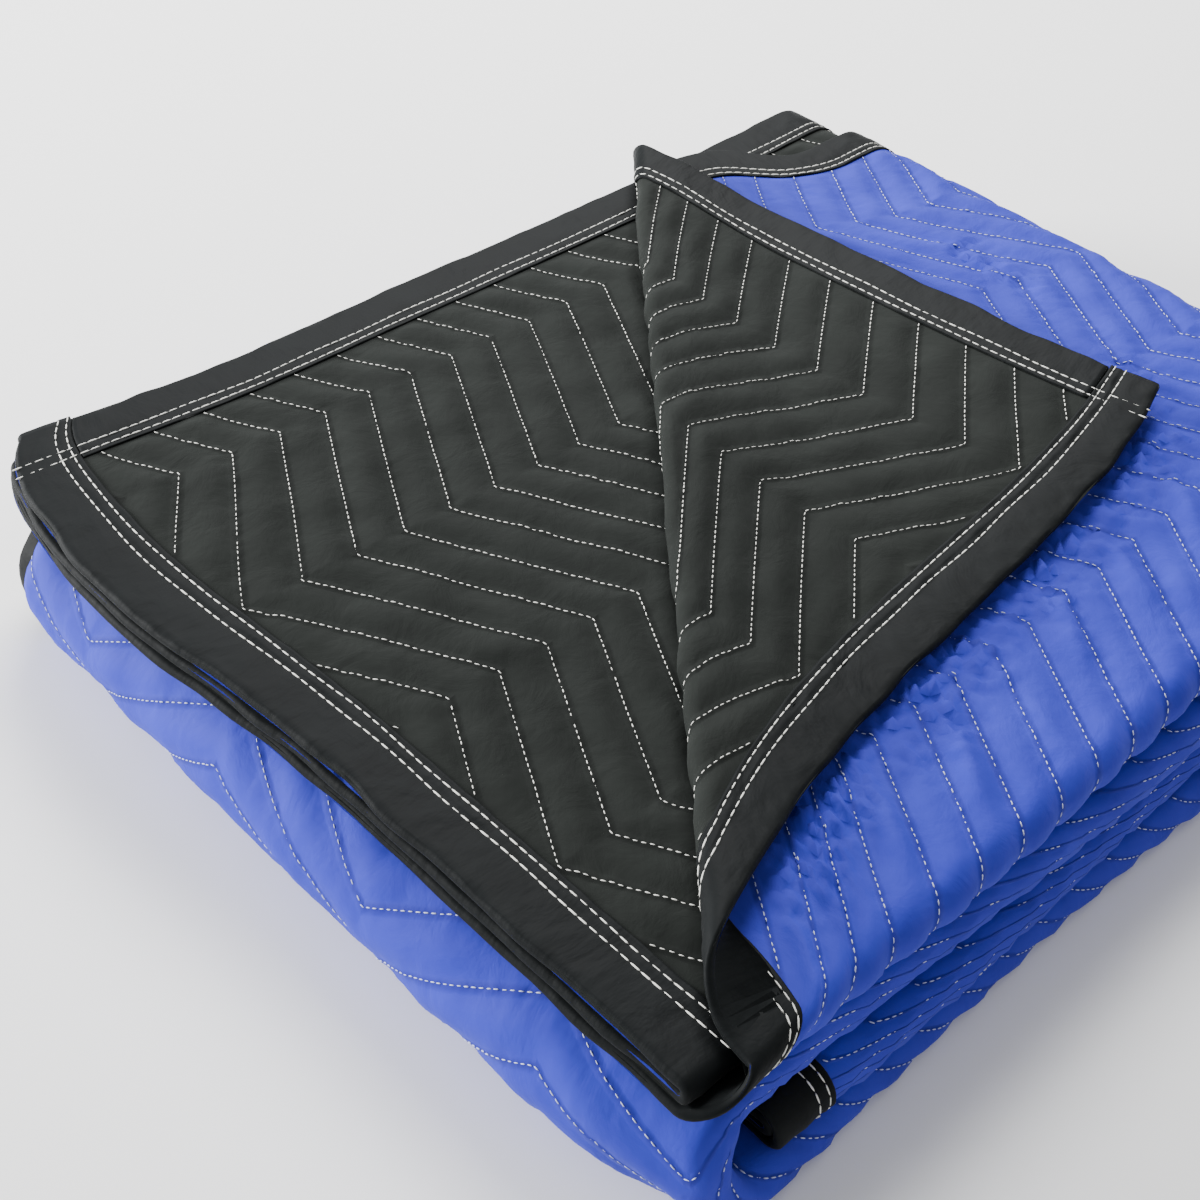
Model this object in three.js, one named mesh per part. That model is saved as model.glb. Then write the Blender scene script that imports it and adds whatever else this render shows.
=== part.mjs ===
// A quilted moving blanket, folded to sixteen layers with one corner of the top layer turned back.
//
// The blanket is a blue face panel and a black back panel, quilted together in rows of zigzag and
// bound round all four edges. It is folded twice across its width, edges inside, into a slab of
// four layers. The slab is then rolled up along its length in four runs: the top run, down round
// the back to the bottom run, round the front bulge to the second run, and back inside to the
// third, whose bound end lies in the bulge.
//
// Every point of the cloth has three cloth coordinates: a, across the cloth from the side edge of
// the top layer; b, along the cloth from the front end of the top run; and off, out of the cloth's
// middle surface, positive on the face. place() carries them into the folded blanket. The pieces
// are meshed in cloth coordinates, so that the same stations serve the panels and their binding.
//
// All lengths are in mm. x runs across the pile, y from front to back, z up from the floor.

import * as THREE from 'three';

// Cloth.
const FACE_TOP = 2.2; // face panel: from the middle surface out to the tops of its pillows
const BACK_TOP = 2.2; // back panel: the same on the other side
const SEAM = 0.3; // gap between two pieces
const FACE_EDGE = 1.0; // face panel squeezed flat inside the binding
const BACK_EDGE = 1.3; // back panel squeezed flat inside the binding

// Quilting.
const FACE_QUILT = 1.1; // how far a stitch line is drawn in on the face
const BACK_QUILT = 0.88; // and on the back
const ROW = 26; // spacing of the zigzag rows along the cloth
const HALF_PERIOD = 90.8; // width of one slope of the zigzag
const ROWS_PER_SLOPE = 2; // a slope climbs two rows, at 30 degrees
const ROW_START = 5.9; // where the rows start from the end of the cloth
const TOP_LAYER_PEAK = 94.5; // first turn of the zigzag from the top layer's side edge
const SECOND_LAYER_PEAK = 64; // the same from the second layer's side edge

// Binding.
const BIND_WIDTH = 30;
const BIND_CLOTH = 0.7; // thickness of the strip
const BIND_EDGE = 0.9; // its thickness round the panels' cut edge
const BOUND = BIND_WIDTH + 0.5; // from here inwards the panels have their full thickness
const EDGE = BIND_EDGE + SEAM; // the panels' cut edge, inside the binding's outer edge

// Section of the four-layer slab: x across the pile, height up from the slab's middle.
const FOLD_X = 426; // centre of the right-hand folds
const LEFT_FOLD_X = 8; // centre of the left-hand fold
const SECOND_EDGE_X = -2; // side edge of the second layer
const LAYER_PITCH = 5.3; // second to third to bottom layer
const TOP_PITCH = 5.1; // top to second layer
const TIGHT_FOLD = LAYER_PITCH / 2;
const WIDE_FOLD = (2 * LAYER_PITCH + TOP_PITCH) / 2;
const SLAB_HALF = WIDE_FOLD + FACE_TOP;

// Path of the slab along the pile: radii of its turns, heights and ends of its runs.
const RUN_GAP = 0.6; // clear space between two runs
const INNER_ROLL = SLAB_HALF + 0.8; // the inner back fold, just clear of itself
const BOTTOM_Z = SLAB_HALF;
const THIRD_Z = BOTTOM_Z + 2 * SLAB_HALF + RUN_GAP;
const SECOND_Z = THIRD_Z + 2 * INNER_ROLL;
const TOP_Z = SECOND_Z + 2 * SLAB_HALF + RUN_GAP;
const OUTER_ROLL = (TOP_Z - BOTTOM_Z) / 2;
const BULGE_ROLL = (SECOND_Z - BOTTOM_Z) / 2;
const FRONT_END_Y = -16;
const BACK_FOLD_Y = 503;
const INNER_FOLD_Y = 483;
const BULGE_Y = 0;
const THIRD_END_Y = 18;

// Turned-back corner.
const CREASE_ANGLE = THREE.MathUtils.degToRad(-41.2); // heading of the crease in plan
const CREASE_REACH = 296; // distance of the crease from the top layer's own corner
const CREASE_ROLL = 7.8; // radius of the roll's middle surface
const CREASE_STEPS = 4; // flats round the roll
const FLAP_CURL = { start: 120, reach: 130, rise: 2.5 };
const FLAP_DRAG = {
  reach: 100,
  corner: [-58, -4],
  acrossPerMetre: [-69, -96],
  alongPerMetre: [-154, 44],
};

// How the cloth lies on the pile.
const SKEW = { back: 19, inward: 45, from: 380, over: 120, easeFrom: 650, easeOver: 250 };
const FRONT_STAGGER = { perHeight: 0.25, reach: 60 }; // lower layers end further forward
const SWELL = {
  low: 0.97,
  front: { share: 0.03, from: 120, over: 120 },
  back: { share: 0.19, from: 230, over: 290 },
};
const UNEVEN_TOP = { share: 0.012, across: 70, acrossPhase: 1, along: 85, alongPhase: 0.4 };
const LEAN = 18; // how far the pile's foot stands out beyond its top on the right
const RIGHT_WAVES = { depth: 2.6, from: 300, over: 130, along: 71, perTurn: 0.7 };
const LEFT_WAVES = { depth: 3, from: 110, over: 110, along: 57, perTurn: 0.8 };
const FRONT_EDGE_BOW = { depth: 11, at: 110, over: 80, corner: 4, cornerOver: 30, reach: 90 };
const BULGE_BOW = { depth: 4, reach: 90 };

// Mesh.
const COARSE = 4; // fine stations to one coarse station, where the quilting is modelled
const STEPS = { run: 4, roll: 4, tightRoll: 3, wideFold: 4, tightFold: 3 };
const FINE = 2; // fine stations to one coarse station round a roll of the slab
const NEAREST = 1.5; // closest two stations may come
const FOLD_CLEAR = 5; // stations of the quilting stop this far short of a fold
const SIDE_STRIP = 20; // the outermost strip of the top layer, modelled with its fold
const TOUCH = 1; // allowance when asking whether a cell lies within a leg
const TINY = 0.01;

const {
  PI, abs, cos, sin, exp, min, max, floor, sign,
} = Math;

const clamp01 = (t) => min(max(t, 0), 1);
const smooth = (t) => clamp01(t) ** 2 * (3 - 2 * clamp01(t));
const bump = (t) => exp(-t * t);

// A traced line of straight runs and half turns. A run has a length; a turn has a radius and a
// side, -1 to the right and +1 to the left.
class Trace {
  constructor(start, heading, legs) {
    this.legs = [];
    let [u, v] = start;
    let along = 0;
    let facing = heading;
    let turned = 0;
    for (const leg of legs) {
      const length = leg.run ?? PI * leg.turn;
      this.legs.push({ ...leg, u, v, facing, along, turned, length });
      if (leg.run !== undefined) {
        u += facing * leg.run;
      } else {
        v += leg.side * facing * 2 * leg.turn;
        facing = -facing;
        turned -= leg.side * PI;
      }
      along += length;
    }
    this.length = along;
  }

  // Point, unit normal to the left of travel and clockwise angle turned so far, at a distance.
  at(distance) {
    const leg = this.legs.findLast((l) => distance >= l.along) ?? this.legs[0];
    const gone = distance - leg.along;
    const lead = leg.facing;
    if (leg.run !== undefined) {
      return { u: leg.u + lead * gone, v: leg.v, nu: 0, nv: lead, turned: leg.turned };
    }
    const angle = gone / leg.turn;
    return {
      u: leg.u + lead * leg.turn * sin(angle),
      v: leg.v + leg.side * lead * leg.turn * (1 - cos(angle)),
      nu: -leg.side * lead * sin(angle),
      nv: lead * cos(angle),
      turned: leg.turned - leg.side * angle,
    };
  }

  // Where a named leg starts and ends.
  span(name) {
    const leg = this.legs.find((l) => l.name === name);
    return [leg.along, leg.along + leg.length];
  }
}

const slab = new Trace([0, WIDE_FOLD], 1, [
  { name: 'top layer', run: FOLD_X },
  { name: 'wide fold', turn: WIDE_FOLD, side: -1 },
  { name: 'bottom layer', run: FOLD_X - LEFT_FOLD_X },
  { name: 'left fold', turn: TIGHT_FOLD, side: -1 },
  { name: 'third layer', run: FOLD_X - LEFT_FOLD_X },
  { name: 'inner fold', turn: TIGHT_FOLD, side: 1 },
  { name: 'second layer', run: FOLD_X - SECOND_EDGE_X },
]);

const roll = new Trace([FRONT_END_Y, TOP_Z], 1, [
  { name: 'top run', run: BACK_FOLD_Y - FRONT_END_Y },
  { name: 'back fold', turn: OUTER_ROLL, side: -1 },
  { name: 'bottom run', run: BACK_FOLD_Y - BULGE_Y },
  { name: 'front bulge', turn: BULGE_ROLL, side: -1 },
  { name: 'second run', run: INNER_FOLD_Y - BULGE_Y },
  { name: 'inner back fold', turn: INNER_ROLL, side: -1 },
  { name: 'third run', run: INNER_FOLD_Y - THIRD_END_Y },
]);

const [, TOP_LAYER_END] = slab.span('top layer');
const [, WIDE_FOLD_END] = slab.span('wide fold');
const [SECOND_LAYER_START] = slab.span('second layer');
const [, TOP_RUN_END] = roll.span('top run');
const [BACK_FOLD_START, BACK_FOLD_END] = roll.span('back fold');
const [BULGE_START, BULGE_END] = roll.span('front bulge');

// The top layer lies askew on the pile: pushed back at its corner, drawn in at the far end.
function skewTopLayer(a, b) {
  const share = clamp01(1 - a / TOP_LAYER_END);
  const far = smooth((b - SKEW.from) / SKEW.over);
  const ease = 1 - smooth((b - SKEW.easeFrom) / SKEW.easeOver);
  return { dx: SKEW.inward * far * ease * share, dy: SKEW.back * (1 - far) * share };
}

// How far a point of the cloth lies past the crease, towards the top layer's corner.
const creaseAcross = [sin(CREASE_ANGLE), -cos(CREASE_ANGLE)];
const creaseAlong = [cos(CREASE_ANGLE), sin(CREASE_ANGLE)];
const cornerY = (b) => b + FRONT_END_Y + SKEW.back;
const pastCrease = (a, b) => a * creaseAcross[0] + cornerY(b) * creaseAcross[1] + CREASE_REACH;

// The turned-back corner: half a turn round the crease, then flat back over the top layer.
function turnBack(a, b, off) {
  const y = cornerY(b);
  const past = pastCrease(a, b);
  const along = a * creaseAlong[0] + y * creaseAlong[1];
  const angle = clamp01(past / CREASE_ROLL / PI) * PI;
  const radius = CREASE_ROLL - off;
  const flat = max(past - PI * CREASE_ROLL, 0);
  const across = radius * sin(angle) - flat - CREASE_REACH;
  const drag = smooth(flat / FLAP_DRAG.reach) / 1000;
  const pull = FLAP_DRAG.corner.map((corner, i) => drag
    * (1000 * corner + FLAP_DRAG.acrossPerMetre[i] * a + FLAP_DRAG.alongPerMetre[i] * y));
  const curl = FLAP_CURL.rise * max((flat - FLAP_CURL.start) / FLAP_CURL.reach, 0) ** 2;
  return {
    x: along * creaseAlong[0] + across * creaseAcross[0] + pull[0],
    y: along * creaseAlong[1] + across * creaseAcross[1] + pull[1],
    z: TOP_Z + WIDE_FOLD + CREASE_ROLL - radius * cos(angle) + curl,
  };
}

// How the pile has settled: higher at the back, sunk in the middle, leaning out to the right
// towards the floor, its sides wavy and its front corners round. It is told how far the point
// belongs to the front edge of the top run, and how far its run has turned.
function settle({ x, y, z }, frontEdge, turned) {
  const level = z / (TOP_Z + SLAB_HALF);
  const swell = SWELL.low + SWELL.front.share * smooth((SWELL.front.from - y) / SWELL.front.over)
    + SWELL.back.share * smooth((y - SWELL.back.from) / SWELL.back.over);
  const uneven = 1 + UNEVEN_TOP.share * sin(x / UNEVEN_TOP.across + UNEVEN_TOP.acrossPhase)
    * sin(y / UNEVEN_TOP.along + UNEVEN_TOP.alongPhase);
  const lean = LEAN * max(1 - level, 0) * smooth(x / FOLD_X);
  const rightWave = RIGHT_WAVES.depth * smooth((x - RIGHT_WAVES.from) / RIGHT_WAVES.over)
    * sin(y / RIGHT_WAVES.along + RIGHT_WAVES.perTurn * turned);
  const leftWave = LEFT_WAVES.depth * smooth((LEFT_WAVES.from - x) / LEFT_WAVES.over)
    * sin(y / LEFT_WAVES.along + LEFT_WAVES.perTurn * turned);
  const edgeBow = FRONT_EDGE_BOW.corner * exp(-max(x, 0) / FRONT_EDGE_BOW.cornerOver)
    - FRONT_EDGE_BOW.depth * bump((x - FRONT_EDGE_BOW.at) / FRONT_EDGE_BOW.over);
  const inBulge = smooth(1 - abs(turned / PI - 3 / 2)) * smooth((BULGE_BOW.reach - y) / BULGE_BOW.reach);
  const bulgeBow = BULGE_BOW.depth * (1 - (2 * x / FOLD_X - 1) ** 2);
  return {
    x: x + lean + rightWave + leftWave,
    y: y + frontEdge * edgeBow - inBulge * bulgeBow,
    z: z * swell * uneven,
  };
}

// Folded place of a cloth point.
function place(a, b, off) {
  if (pastCrease(a, b) > 0) {
    return settle(turnBack(a, b, off), 0, 0);
  }
  const s = slab.at(a);
  const r = roll.at(b);
  const height = s.v + s.nv * off;
  const skew = skewTopLayer(a, b);
  const drop = (height - WIDE_FOLD) * smooth(1 - b / FRONT_STAGGER.reach);
  const point = {
    x: s.u + s.nu * off + skew.dx,
    y: r.u + r.nu * height + skew.dy + FRONT_STAGGER.perHeight * drop,
    z: r.v + r.nv * height,
  };
  return settle(point, smooth(1 - b / FRONT_EDGE_BOW.reach), r.turned);
}

// Rows climbed by the zigzag at a station across the cloth. The quilting is counted in from
// either side edge, so that it fits both of the layers that show.
function slopeRows(a) {
  const fromSecond = a > slab.length / 2;
  const peak = fromSecond ? slab.length - SECOND_LAYER_PEAK : TOP_LAYER_PEAK;
  const phase = abs((((a - peak) / HALF_PERIOD + 1) % 2 + 2) % 2 - 1);
  return ROWS_PER_SLOPE * (fromSecond ? 1 - phase : phase);
}

// 1 on a stitch line, 0 on the top of a pillow. The rows are counted along each layer's own
// length, which is longer round the outside of a turn.
function stitchLine(a, b) {
  const own = b + slab.at(a).v * roll.at(b).turned;
  return abs(cos(PI * ((own - ROW_START) / ROW - slopeRows(a))));
}

// Whether the cloth is squeezed flat inside the binding.
const isBound = (a, b) => min(a, slab.length - a, b, roll.length - b) <= BOUND + TINY;

// Whether the quilting is raised: not in the runs inside the pile, nor on the underside, where the
// pillows lie pressed flat on the floor.
const isRaised = (b) => b < BACK_FOLD_END - TOUCH || (b > BULGE_START + TOUCH && b < BULGE_END - TOUCH);

function faceOuter(a, b) {
  if (isBound(a, b)) return FACE_EDGE;
  return isRaised(b) ? FACE_TOP - FACE_QUILT * stitchLine(a, b) : FACE_TOP;
}

function backOuter(a, b) {
  if (isBound(a, b)) return -BACK_EDGE;
  return isRaised(b) ? BACK_QUILT * stitchLine(a, b) - BACK_TOP : -BACK_TOP;
}

// Stations along one direction of the cloth. Every station has its place and whether it is coarse.
// pitched() sets them at a pitch; parted() shares a length out evenly.
function pitched(from, to, pitch) {
  const count = floor(abs(to - from) / pitch + TINY);
  const last = count - count % COARSE;
  return Array.from({ length: count + 1 }, (_, i) => (
    { at: from + sign(to - from) * i * pitch, coarse: i % COARSE === 0 && i < last }));
}

function parted([from, to], count, every = 1) {
  return Array.from({ length: count + 1 }, (_, i) => (
    { at: from + (to - from) * i / count, coarse: i % every === 0 }));
}

function merged(...lists) {
  const all = lists.flat().sort((p, q) => p.at - q.at);
  return all.filter((p, i) => i === 0 || p.at - all[i - 1].at > NEAREST);
}

const coarseAt = (at) => ({ at, coarse: true });
const coarseOf = (stations) => stations.filter((s) => s.coarse).map((s) => s.at);

function stationsAcross() {
  const quarter = HALF_PERIOD / COARSE;
  const firstTop = TOP_LAYER_PEAK - 2 * quarter;
  const lastSecond = slab.length - SECOND_LAYER_PEAK + quarter;
  return merged(
    [coarseAt(EDGE), coarseAt(BOUND)],
    pitched(firstTop, TOP_LAYER_END - FOLD_CLEAR, quarter),
    parted(slab.span('wide fold'), STEPS.wideFold),
    parted(slab.span('bottom layer'), STEPS.run),
    parted(slab.span('left fold'), STEPS.tightFold),
    parted(slab.span('third layer'), STEPS.run),
    parted(slab.span('inner fold'), STEPS.tightFold),
    pitched(lastSecond, SECOND_LAYER_START, quarter),
    [coarseAt(slab.length - BOUND), coarseAt(slab.length - EDGE)],
  );
}

function stationsAlong() {
  const halfRow = ROW / 2;
  const [thirdStart] = roll.span('third run');
  return merged(
    [coarseAt(EDGE), coarseAt(BOUND)],
    pitched(ROW_START + 3 * halfRow, TOP_RUN_END - FOLD_CLEAR, halfRow),
    parted(roll.span('back fold'), FINE * STEPS.roll, FINE),
    parted(roll.span('bottom run'), STEPS.run),
    parted(roll.span('front bulge'), FINE * STEPS.roll, FINE),
    parted(roll.span('second run'), STEPS.run),
    parted(roll.span('inner back fold'), STEPS.tightRoll),
    parted([thirdStart, roll.length - BOUND], STEPS.run),
    [coarseAt(roll.length - EDGE)],
  );
}

const across = stationsAcross();
const along = stationsAlong();

// A closed mesh in cloth coordinates. Points that coincide are shared.
class ClothMesh {
  constructor() {
    this.points = [];
    this.faces = [];
    this.index = new Map();
  }

  point(a, b, off) {
    const key = [a, b, off].map((value) => value.toFixed(3)).join(' ');
    if (!this.index.has(key)) {
      this.index.set(key, this.points.length);
      this.points.push([a, b, off]);
    }
    return this.index.get(key);
  }

  face(p, q, r) {
    const ids = [p, q, r].map((corner) => this.point(...corner));
    if (new Set(ids).size === ids.length) {
      this.faces.push(ids);
    }
  }

  polygon(corners) {
    for (let i = 1; i + 1 < corners.length; i += 1) {
      this.face(corners[0], corners[i], corners[i + 1]);
    }
  }

  // Cuts every face that crosses a level of a measure, so that the cloth can bend along it.
  cut(measure, level) {
    const value = this.points.map(([a, b]) => {
      const above = measure(a, b) - level;
      return abs(above) < 2 * TINY ? 0 : above;
    });
    const places = this.points.slice();
    const crossing = (i, j) => {
      const [low, high] = i < j ? [i, j] : [j, i];
      const share = value[low] / (value[low] - value[high]);
      return places[low].map((c, k) => c + (places[high][k] - c) * share);
    };
    const old = this.faces;
    this.faces = [];
    for (const ids of old) {
      const above = [];
      const below = [];
      ids.forEach((i, n) => {
        const j = ids[(n + 1) % ids.length];
        if (value[i] >= 0) above.push(places[i]);
        if (value[i] <= 0) below.push(places[i]);
        if (value[i] * value[j] < 0) {
          above.push(crossing(i, j));
          below.push(crossing(i, j));
        }
      });
      const onLevel = ids.every((i) => value[i] === 0);
      if (above.length > 2) this.polygon(above);
      if (below.length > 2 && !onLevel) this.polygon(below);
    }
  }

  // The finished shape, cut along the flats of the crease's roll and put in its folded place.
  geometry() {
    for (let k = 0; k <= CREASE_STEPS; k += 1) {
      this.cut(pastCrease, k * PI * CREASE_ROLL / CREASE_STEPS);
    }
    const positions = this.points.flatMap((point) => {
      const { x, y, z } = place(...point);
      return [x, y, z];
    });
    const geometry = new THREE.BufferGeometry();
    geometry.setAttribute('position', new THREE.Float32BufferAttribute(positions, 3));
    geometry.setIndex(this.faces.flat());
    return geometry;
  }
}

// One side of a panel: coarse cells, and fine ones where isFine says so. A coarse cell beside a
// fine one takes in the fine one's edge points.
function addSide(mesh, offset, isFine, flip) {
  const coarseA = across.flatMap((s, i) => (s.coarse ? [i] : []));
  const coarseB = along.flatMap((s, i) => (s.coarse ? [i] : []));
  const fineCell = (i, j) => {
    if (i < 0 || j < 0 || i + 1 >= coarseA.length || j + 1 >= coarseB.length) return false;
    const [a0, a1] = [coarseA[i], coarseA[i + 1]].map((k) => across[k].at);
    const [b0, b1] = [coarseB[j], coarseB[j + 1]].map((k) => along[k].at);
    return isFine(a0, a1, b0, b1);
  };
  const at = (a, b) => [a, b, offset(a, b)];
  const corner = (k, m) => at(across[k].at, along[m].at);
  const put = (corners) => mesh.polygon(flip ? corners.slice().reverse() : corners);

  const fineQuads = (a0, a1, b0, b1) => {
    for (let k = a0; k < a1; k += 1) {
      const rising = slopeRows(across[k + 1].at) > slopeRows(across[k].at);
      for (let m = b0; m < b1; m += 1) {
        const quad = [corner(k, m), corner(k + 1, m), corner(k + 1, m + 1), corner(k, m + 1)];
        put(rising ? quad : [...quad.slice(1), quad[0]]);
      }
    }
  };

  const coarseCell = (i, j) => {
    const [a0, a1] = [coarseA[i], coarseA[i + 1]];
    const [b0, b1] = [coarseB[j], coarseB[j + 1]];
    const ring = [];
    const side = (fine, from, to, make) => {
      const stride = fine ? sign(to - from) : to - from;
      for (let k = from; k !== to; k += stride) ring.push(make(k));
    };
    side(fineCell(i, j - 1), a0, a1, (k) => corner(k, b0));
    side(fineCell(i + 1, j), b0, b1, (k) => corner(a1, k));
    side(fineCell(i, j + 1), a1, a0, (k) => corner(k, b1));
    side(fineCell(i - 1, j), b1, b0, (k) => corner(a0, k));
    if (ring.length === 4) {
      put(ring);
      return;
    }
    const centre = at((across[a0].at + across[a1].at) / 2, (along[b0].at + along[b1].at) / 2);
    ring.forEach((p, n) => put([centre, p, ring[(n + 1) % ring.length]]));
  };

  for (let i = 0; i + 1 < coarseA.length; i += 1) {
    for (let j = 0; j + 1 < coarseB.length; j += 1) {
      if (fineCell(i, j)) {
        fineQuads(coarseA[i], coarseA[i + 1], coarseB[j], coarseB[j + 1]);
      } else {
        coarseCell(i, j);
      }
    }
  }
}

// The wall round a panel's cut edge.
function addRim(mesh, lower, upper) {
  const a = coarseOf(across);
  const b = coarseOf(along);
  const wall = (p, q) => mesh.polygon([
    [...p, lower(...p)], [...q, lower(...q)], [...q, upper(...q)], [...p, upper(...p)],
  ]);
  for (let i = 0; i + 1 < a.length; i += 1) {
    wall([a[i], b[0]], [a[i + 1], b[0]]);
    wall([a[i + 1], b.at(-1)], [a[i], b.at(-1)]);
  }
  for (let j = 0; j + 1 < b.length; j += 1) {
    wall([a[0], b[j + 1]], [a[0], b[j]]);
    wall([a.at(-1), b[j]], [a.at(-1), b[j + 1]]);
  }
}

const never = () => false;

// Blue face panel. Its quilting is raised on the top layer and round both ends of the pile.
function facePanel() {
  const inner = () => 0;
  const shows = (a0, a1, b0, b1) => {
    if (a0 <= BOUND || b0 <= BOUND || a1 > WIDE_FOLD_END + TOUCH) return false;
    if (b1 <= TOP_RUN_END + TOUCH) {
      const besideFlap = a1 > FOLD_X - HALF_PERIOD || b1 > SKEW.from + SKEW.over / 2;
      return a0 >= TOP_LAYER_END - SIDE_STRIP || (besideFlap && pastCrease(a0, b0) < 0);
    }
    return (b0 >= BACK_FOLD_START - TOUCH && b1 <= BACK_FOLD_END + TOUCH)
      || (b0 >= BULGE_START - TOUCH && b1 <= BULGE_END + TOUCH);
  };
  const mesh = new ClothMesh();
  addSide(mesh, faceOuter, shows, false);
  addSide(mesh, inner, never, true);
  addRim(mesh, inner, faceOuter);
  return mesh.geometry();
}

// Black back panel. Its quilting is raised on the second layer, where the top layer is turned
// back from it, and on the turned-back corner.
function backPanel() {
  const inner = () => -SEAM;
  const shows = (a0, a1, b0, b1) => {
    if (b0 <= BOUND || b1 > TOP_RUN_END + TOUCH) return false;
    if (a0 <= BOUND || a1 >= slab.length - BOUND) return false;
    if (a0 >= SECOND_LAYER_START - TOUCH) return pastCrease(slab.length - a1, b0) > -CREASE_ROLL;
    return a1 < TOP_LAYER_END && pastCrease(a1, b1) > PI * CREASE_ROLL;
  };
  const mesh = new ClothMesh();
  addSide(mesh, inner, never, false);
  addSide(mesh, backOuter, shows, true);
  addRim(mesh, backOuter, inner);
  return mesh.geometry();
}

// A binding strip is folded round a cut edge: a U of cloth, swept along the edge. Its section is
// given as distance in from the strip's outer edge, and off.
const U_SECTION = [
  [BIND_WIDTH, FACE_EDGE + SEAM + BIND_CLOTH],
  [0, FACE_EDGE + SEAM + BIND_CLOTH],
  [0, -BACK_EDGE - SEAM - BIND_CLOTH],
  [BIND_WIDTH, -BACK_EDGE - SEAM - BIND_CLOTH],
  [BIND_WIDTH, -BACK_EDGE - SEAM],
  [BIND_EDGE, -BACK_EDGE - SEAM],
  [BIND_EDGE, FACE_EDGE + SEAM],
  [BIND_WIDTH, FACE_EDGE + SEAM],
];
const U_END = [[0, 1, 6, 7], [1, 2, 5, 6], [2, 3, 4, 5]];

function binding(stations, toCloth, flip) {
  const mesh = new ClothMesh();
  const put = (corners) => mesh.polygon(flip ? corners.slice().reverse() : corners);
  const section = (s) => U_SECTION.map(([into, off]) => toCloth(s, into, off));
  for (let i = 0; i + 1 < stations.length; i += 1) {
    const [near, far] = [section(stations[i]), section(stations[i + 1])];
    near.forEach((p, n) => {
      const m = (n + 1) % near.length;
      put([p, near[m], far[m], far[n]]);
    });
  }
  const [first, last] = [section(stations[0]), section(stations.at(-1))];
  for (const corners of U_END) {
    put(corners.map((k) => first[k]).reverse());
    put(corners.map((k) => last[k]));
  }
  return mesh.geometry();
}

// The end strips run the full width of the cloth; the side strips butt against them.
const endStations = [0, ...coarseOf(across).slice(1, -1), slab.length];
const sideStations = [BOUND, ...coarseOf(along).slice(2, -2), roll.length - BOUND];
const onTopSide = (s, into, off) => [into, s, off];
const onSecondSide = (s, into, off) => [slab.length - into, s, off];
const onOuterEnd = (s, into, off) => [s, into, off];
const onInnerEnd = (s, into, off) => [s, roll.length - into, off];

// Finishes, as flat colours.
const blueCloth = new THREE.MeshStandardMaterial({ color: 0x4a5fc4, roughness: 0.85 });
const blackCloth = new THREE.MeshStandardMaterial({ color: 0x2f3432, roughness: 0.9 });
const bindingCloth = new THREE.MeshStandardMaterial({ color: 0x26292a, roughness: 0.75 });

const blanket = new THREE.Group();

function add(name, geometry, material) {
  const mesh = new THREE.Mesh(geometry, material);
  mesh.name = name;
  blanket.add(mesh);
}

add('face_panel', facePanel(), blueCloth);
add('back_panel', backPanel(), blackCloth);
add('top_side_binding', binding(sideStations, onTopSide, true), bindingCloth);
add('second_side_binding', binding(sideStations, onSecondSide, false), bindingCloth);
add('outer_end_binding', binding(endStations, onOuterEnd, false), bindingCloth);
add('inner_end_binding', binding(endStations, onInnerEnd, true), bindingCloth);

// The origin is under the middle of the pile, on the floor.
const box = new THREE.Box3().setFromObject(blanket);
blanket.position.set(-(box.min.x + box.max.x) / 2, -(box.min.y + box.max.y) / 2, -box.min.z);

export default blanket;
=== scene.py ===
"""A quilted moving blanket, folded to sixteen layers with one corner of its top layer turned back.

The cloth has three cloth coordinates, in millimetres: a, across it from the side edge of the top
layer; b, along it from the front end of the top run; and off, out of its middle surface, positive
on the blue face. FoldedPile.place carries them into the folded blanket, in the frame's metres.
Each panel, each binding strip and each set of stitches is laid out flat in these coordinates and
folded with the rest.
"""

import logging
import math
from dataclasses import dataclass
from enum import Enum
from typing import Any, Callable, Sequence

import bpy
import numpy as np
from mathutils import Matrix, Vector


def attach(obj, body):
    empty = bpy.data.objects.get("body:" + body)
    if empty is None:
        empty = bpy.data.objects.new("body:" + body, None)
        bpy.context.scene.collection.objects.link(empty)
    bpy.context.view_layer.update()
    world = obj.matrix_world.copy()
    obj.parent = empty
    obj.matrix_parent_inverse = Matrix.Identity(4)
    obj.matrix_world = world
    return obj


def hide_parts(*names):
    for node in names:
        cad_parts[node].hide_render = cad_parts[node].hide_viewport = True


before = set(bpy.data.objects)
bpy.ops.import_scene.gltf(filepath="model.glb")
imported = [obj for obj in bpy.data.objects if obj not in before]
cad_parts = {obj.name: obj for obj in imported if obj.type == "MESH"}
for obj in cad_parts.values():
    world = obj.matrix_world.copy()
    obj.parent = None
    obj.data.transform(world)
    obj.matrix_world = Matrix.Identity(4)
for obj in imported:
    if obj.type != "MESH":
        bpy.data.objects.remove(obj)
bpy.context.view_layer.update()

log = logging.getLogger("blanket")

MM = 0.001
BODY = "root"
CLOTH_UV = "cloth"
ROW_ATTRIBUTE = "quilt_row"
WAVE_BANDS = 20  # bands of the wave texture in one unit of its scale

ROW_SHIFT = 400.0  # keeps the row numbers that the materials read above 0

BINDING_WIDTH = 30.0  # of each binding strip, on either side of the blanket, in mm
BOUND = BINDING_WIDTH + 0.5  # from here inwards the panels are free of the binding
SEWN = BINDING_WIDTH + 1.5  # from here inwards the quilting shows
UNSEEN = 10.0  # pitch of the mesh inside the binding
DIP_SIDE = 1.6  # where the mesh marks the sides of a dip along a row of stitches
OUTSIDE = 1.75  # what lies further out of the blanket's middle is the outside of a strip
CUT_END = 1.2  # how far the panels' ends lie inside the binding
THREAD_LIFT = 0.14  # how far the middle of the quilting thread lies over the cloth
BEFORE_CREASE = -4.0  # what lies further before the crease than this still shows its blue face

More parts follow.
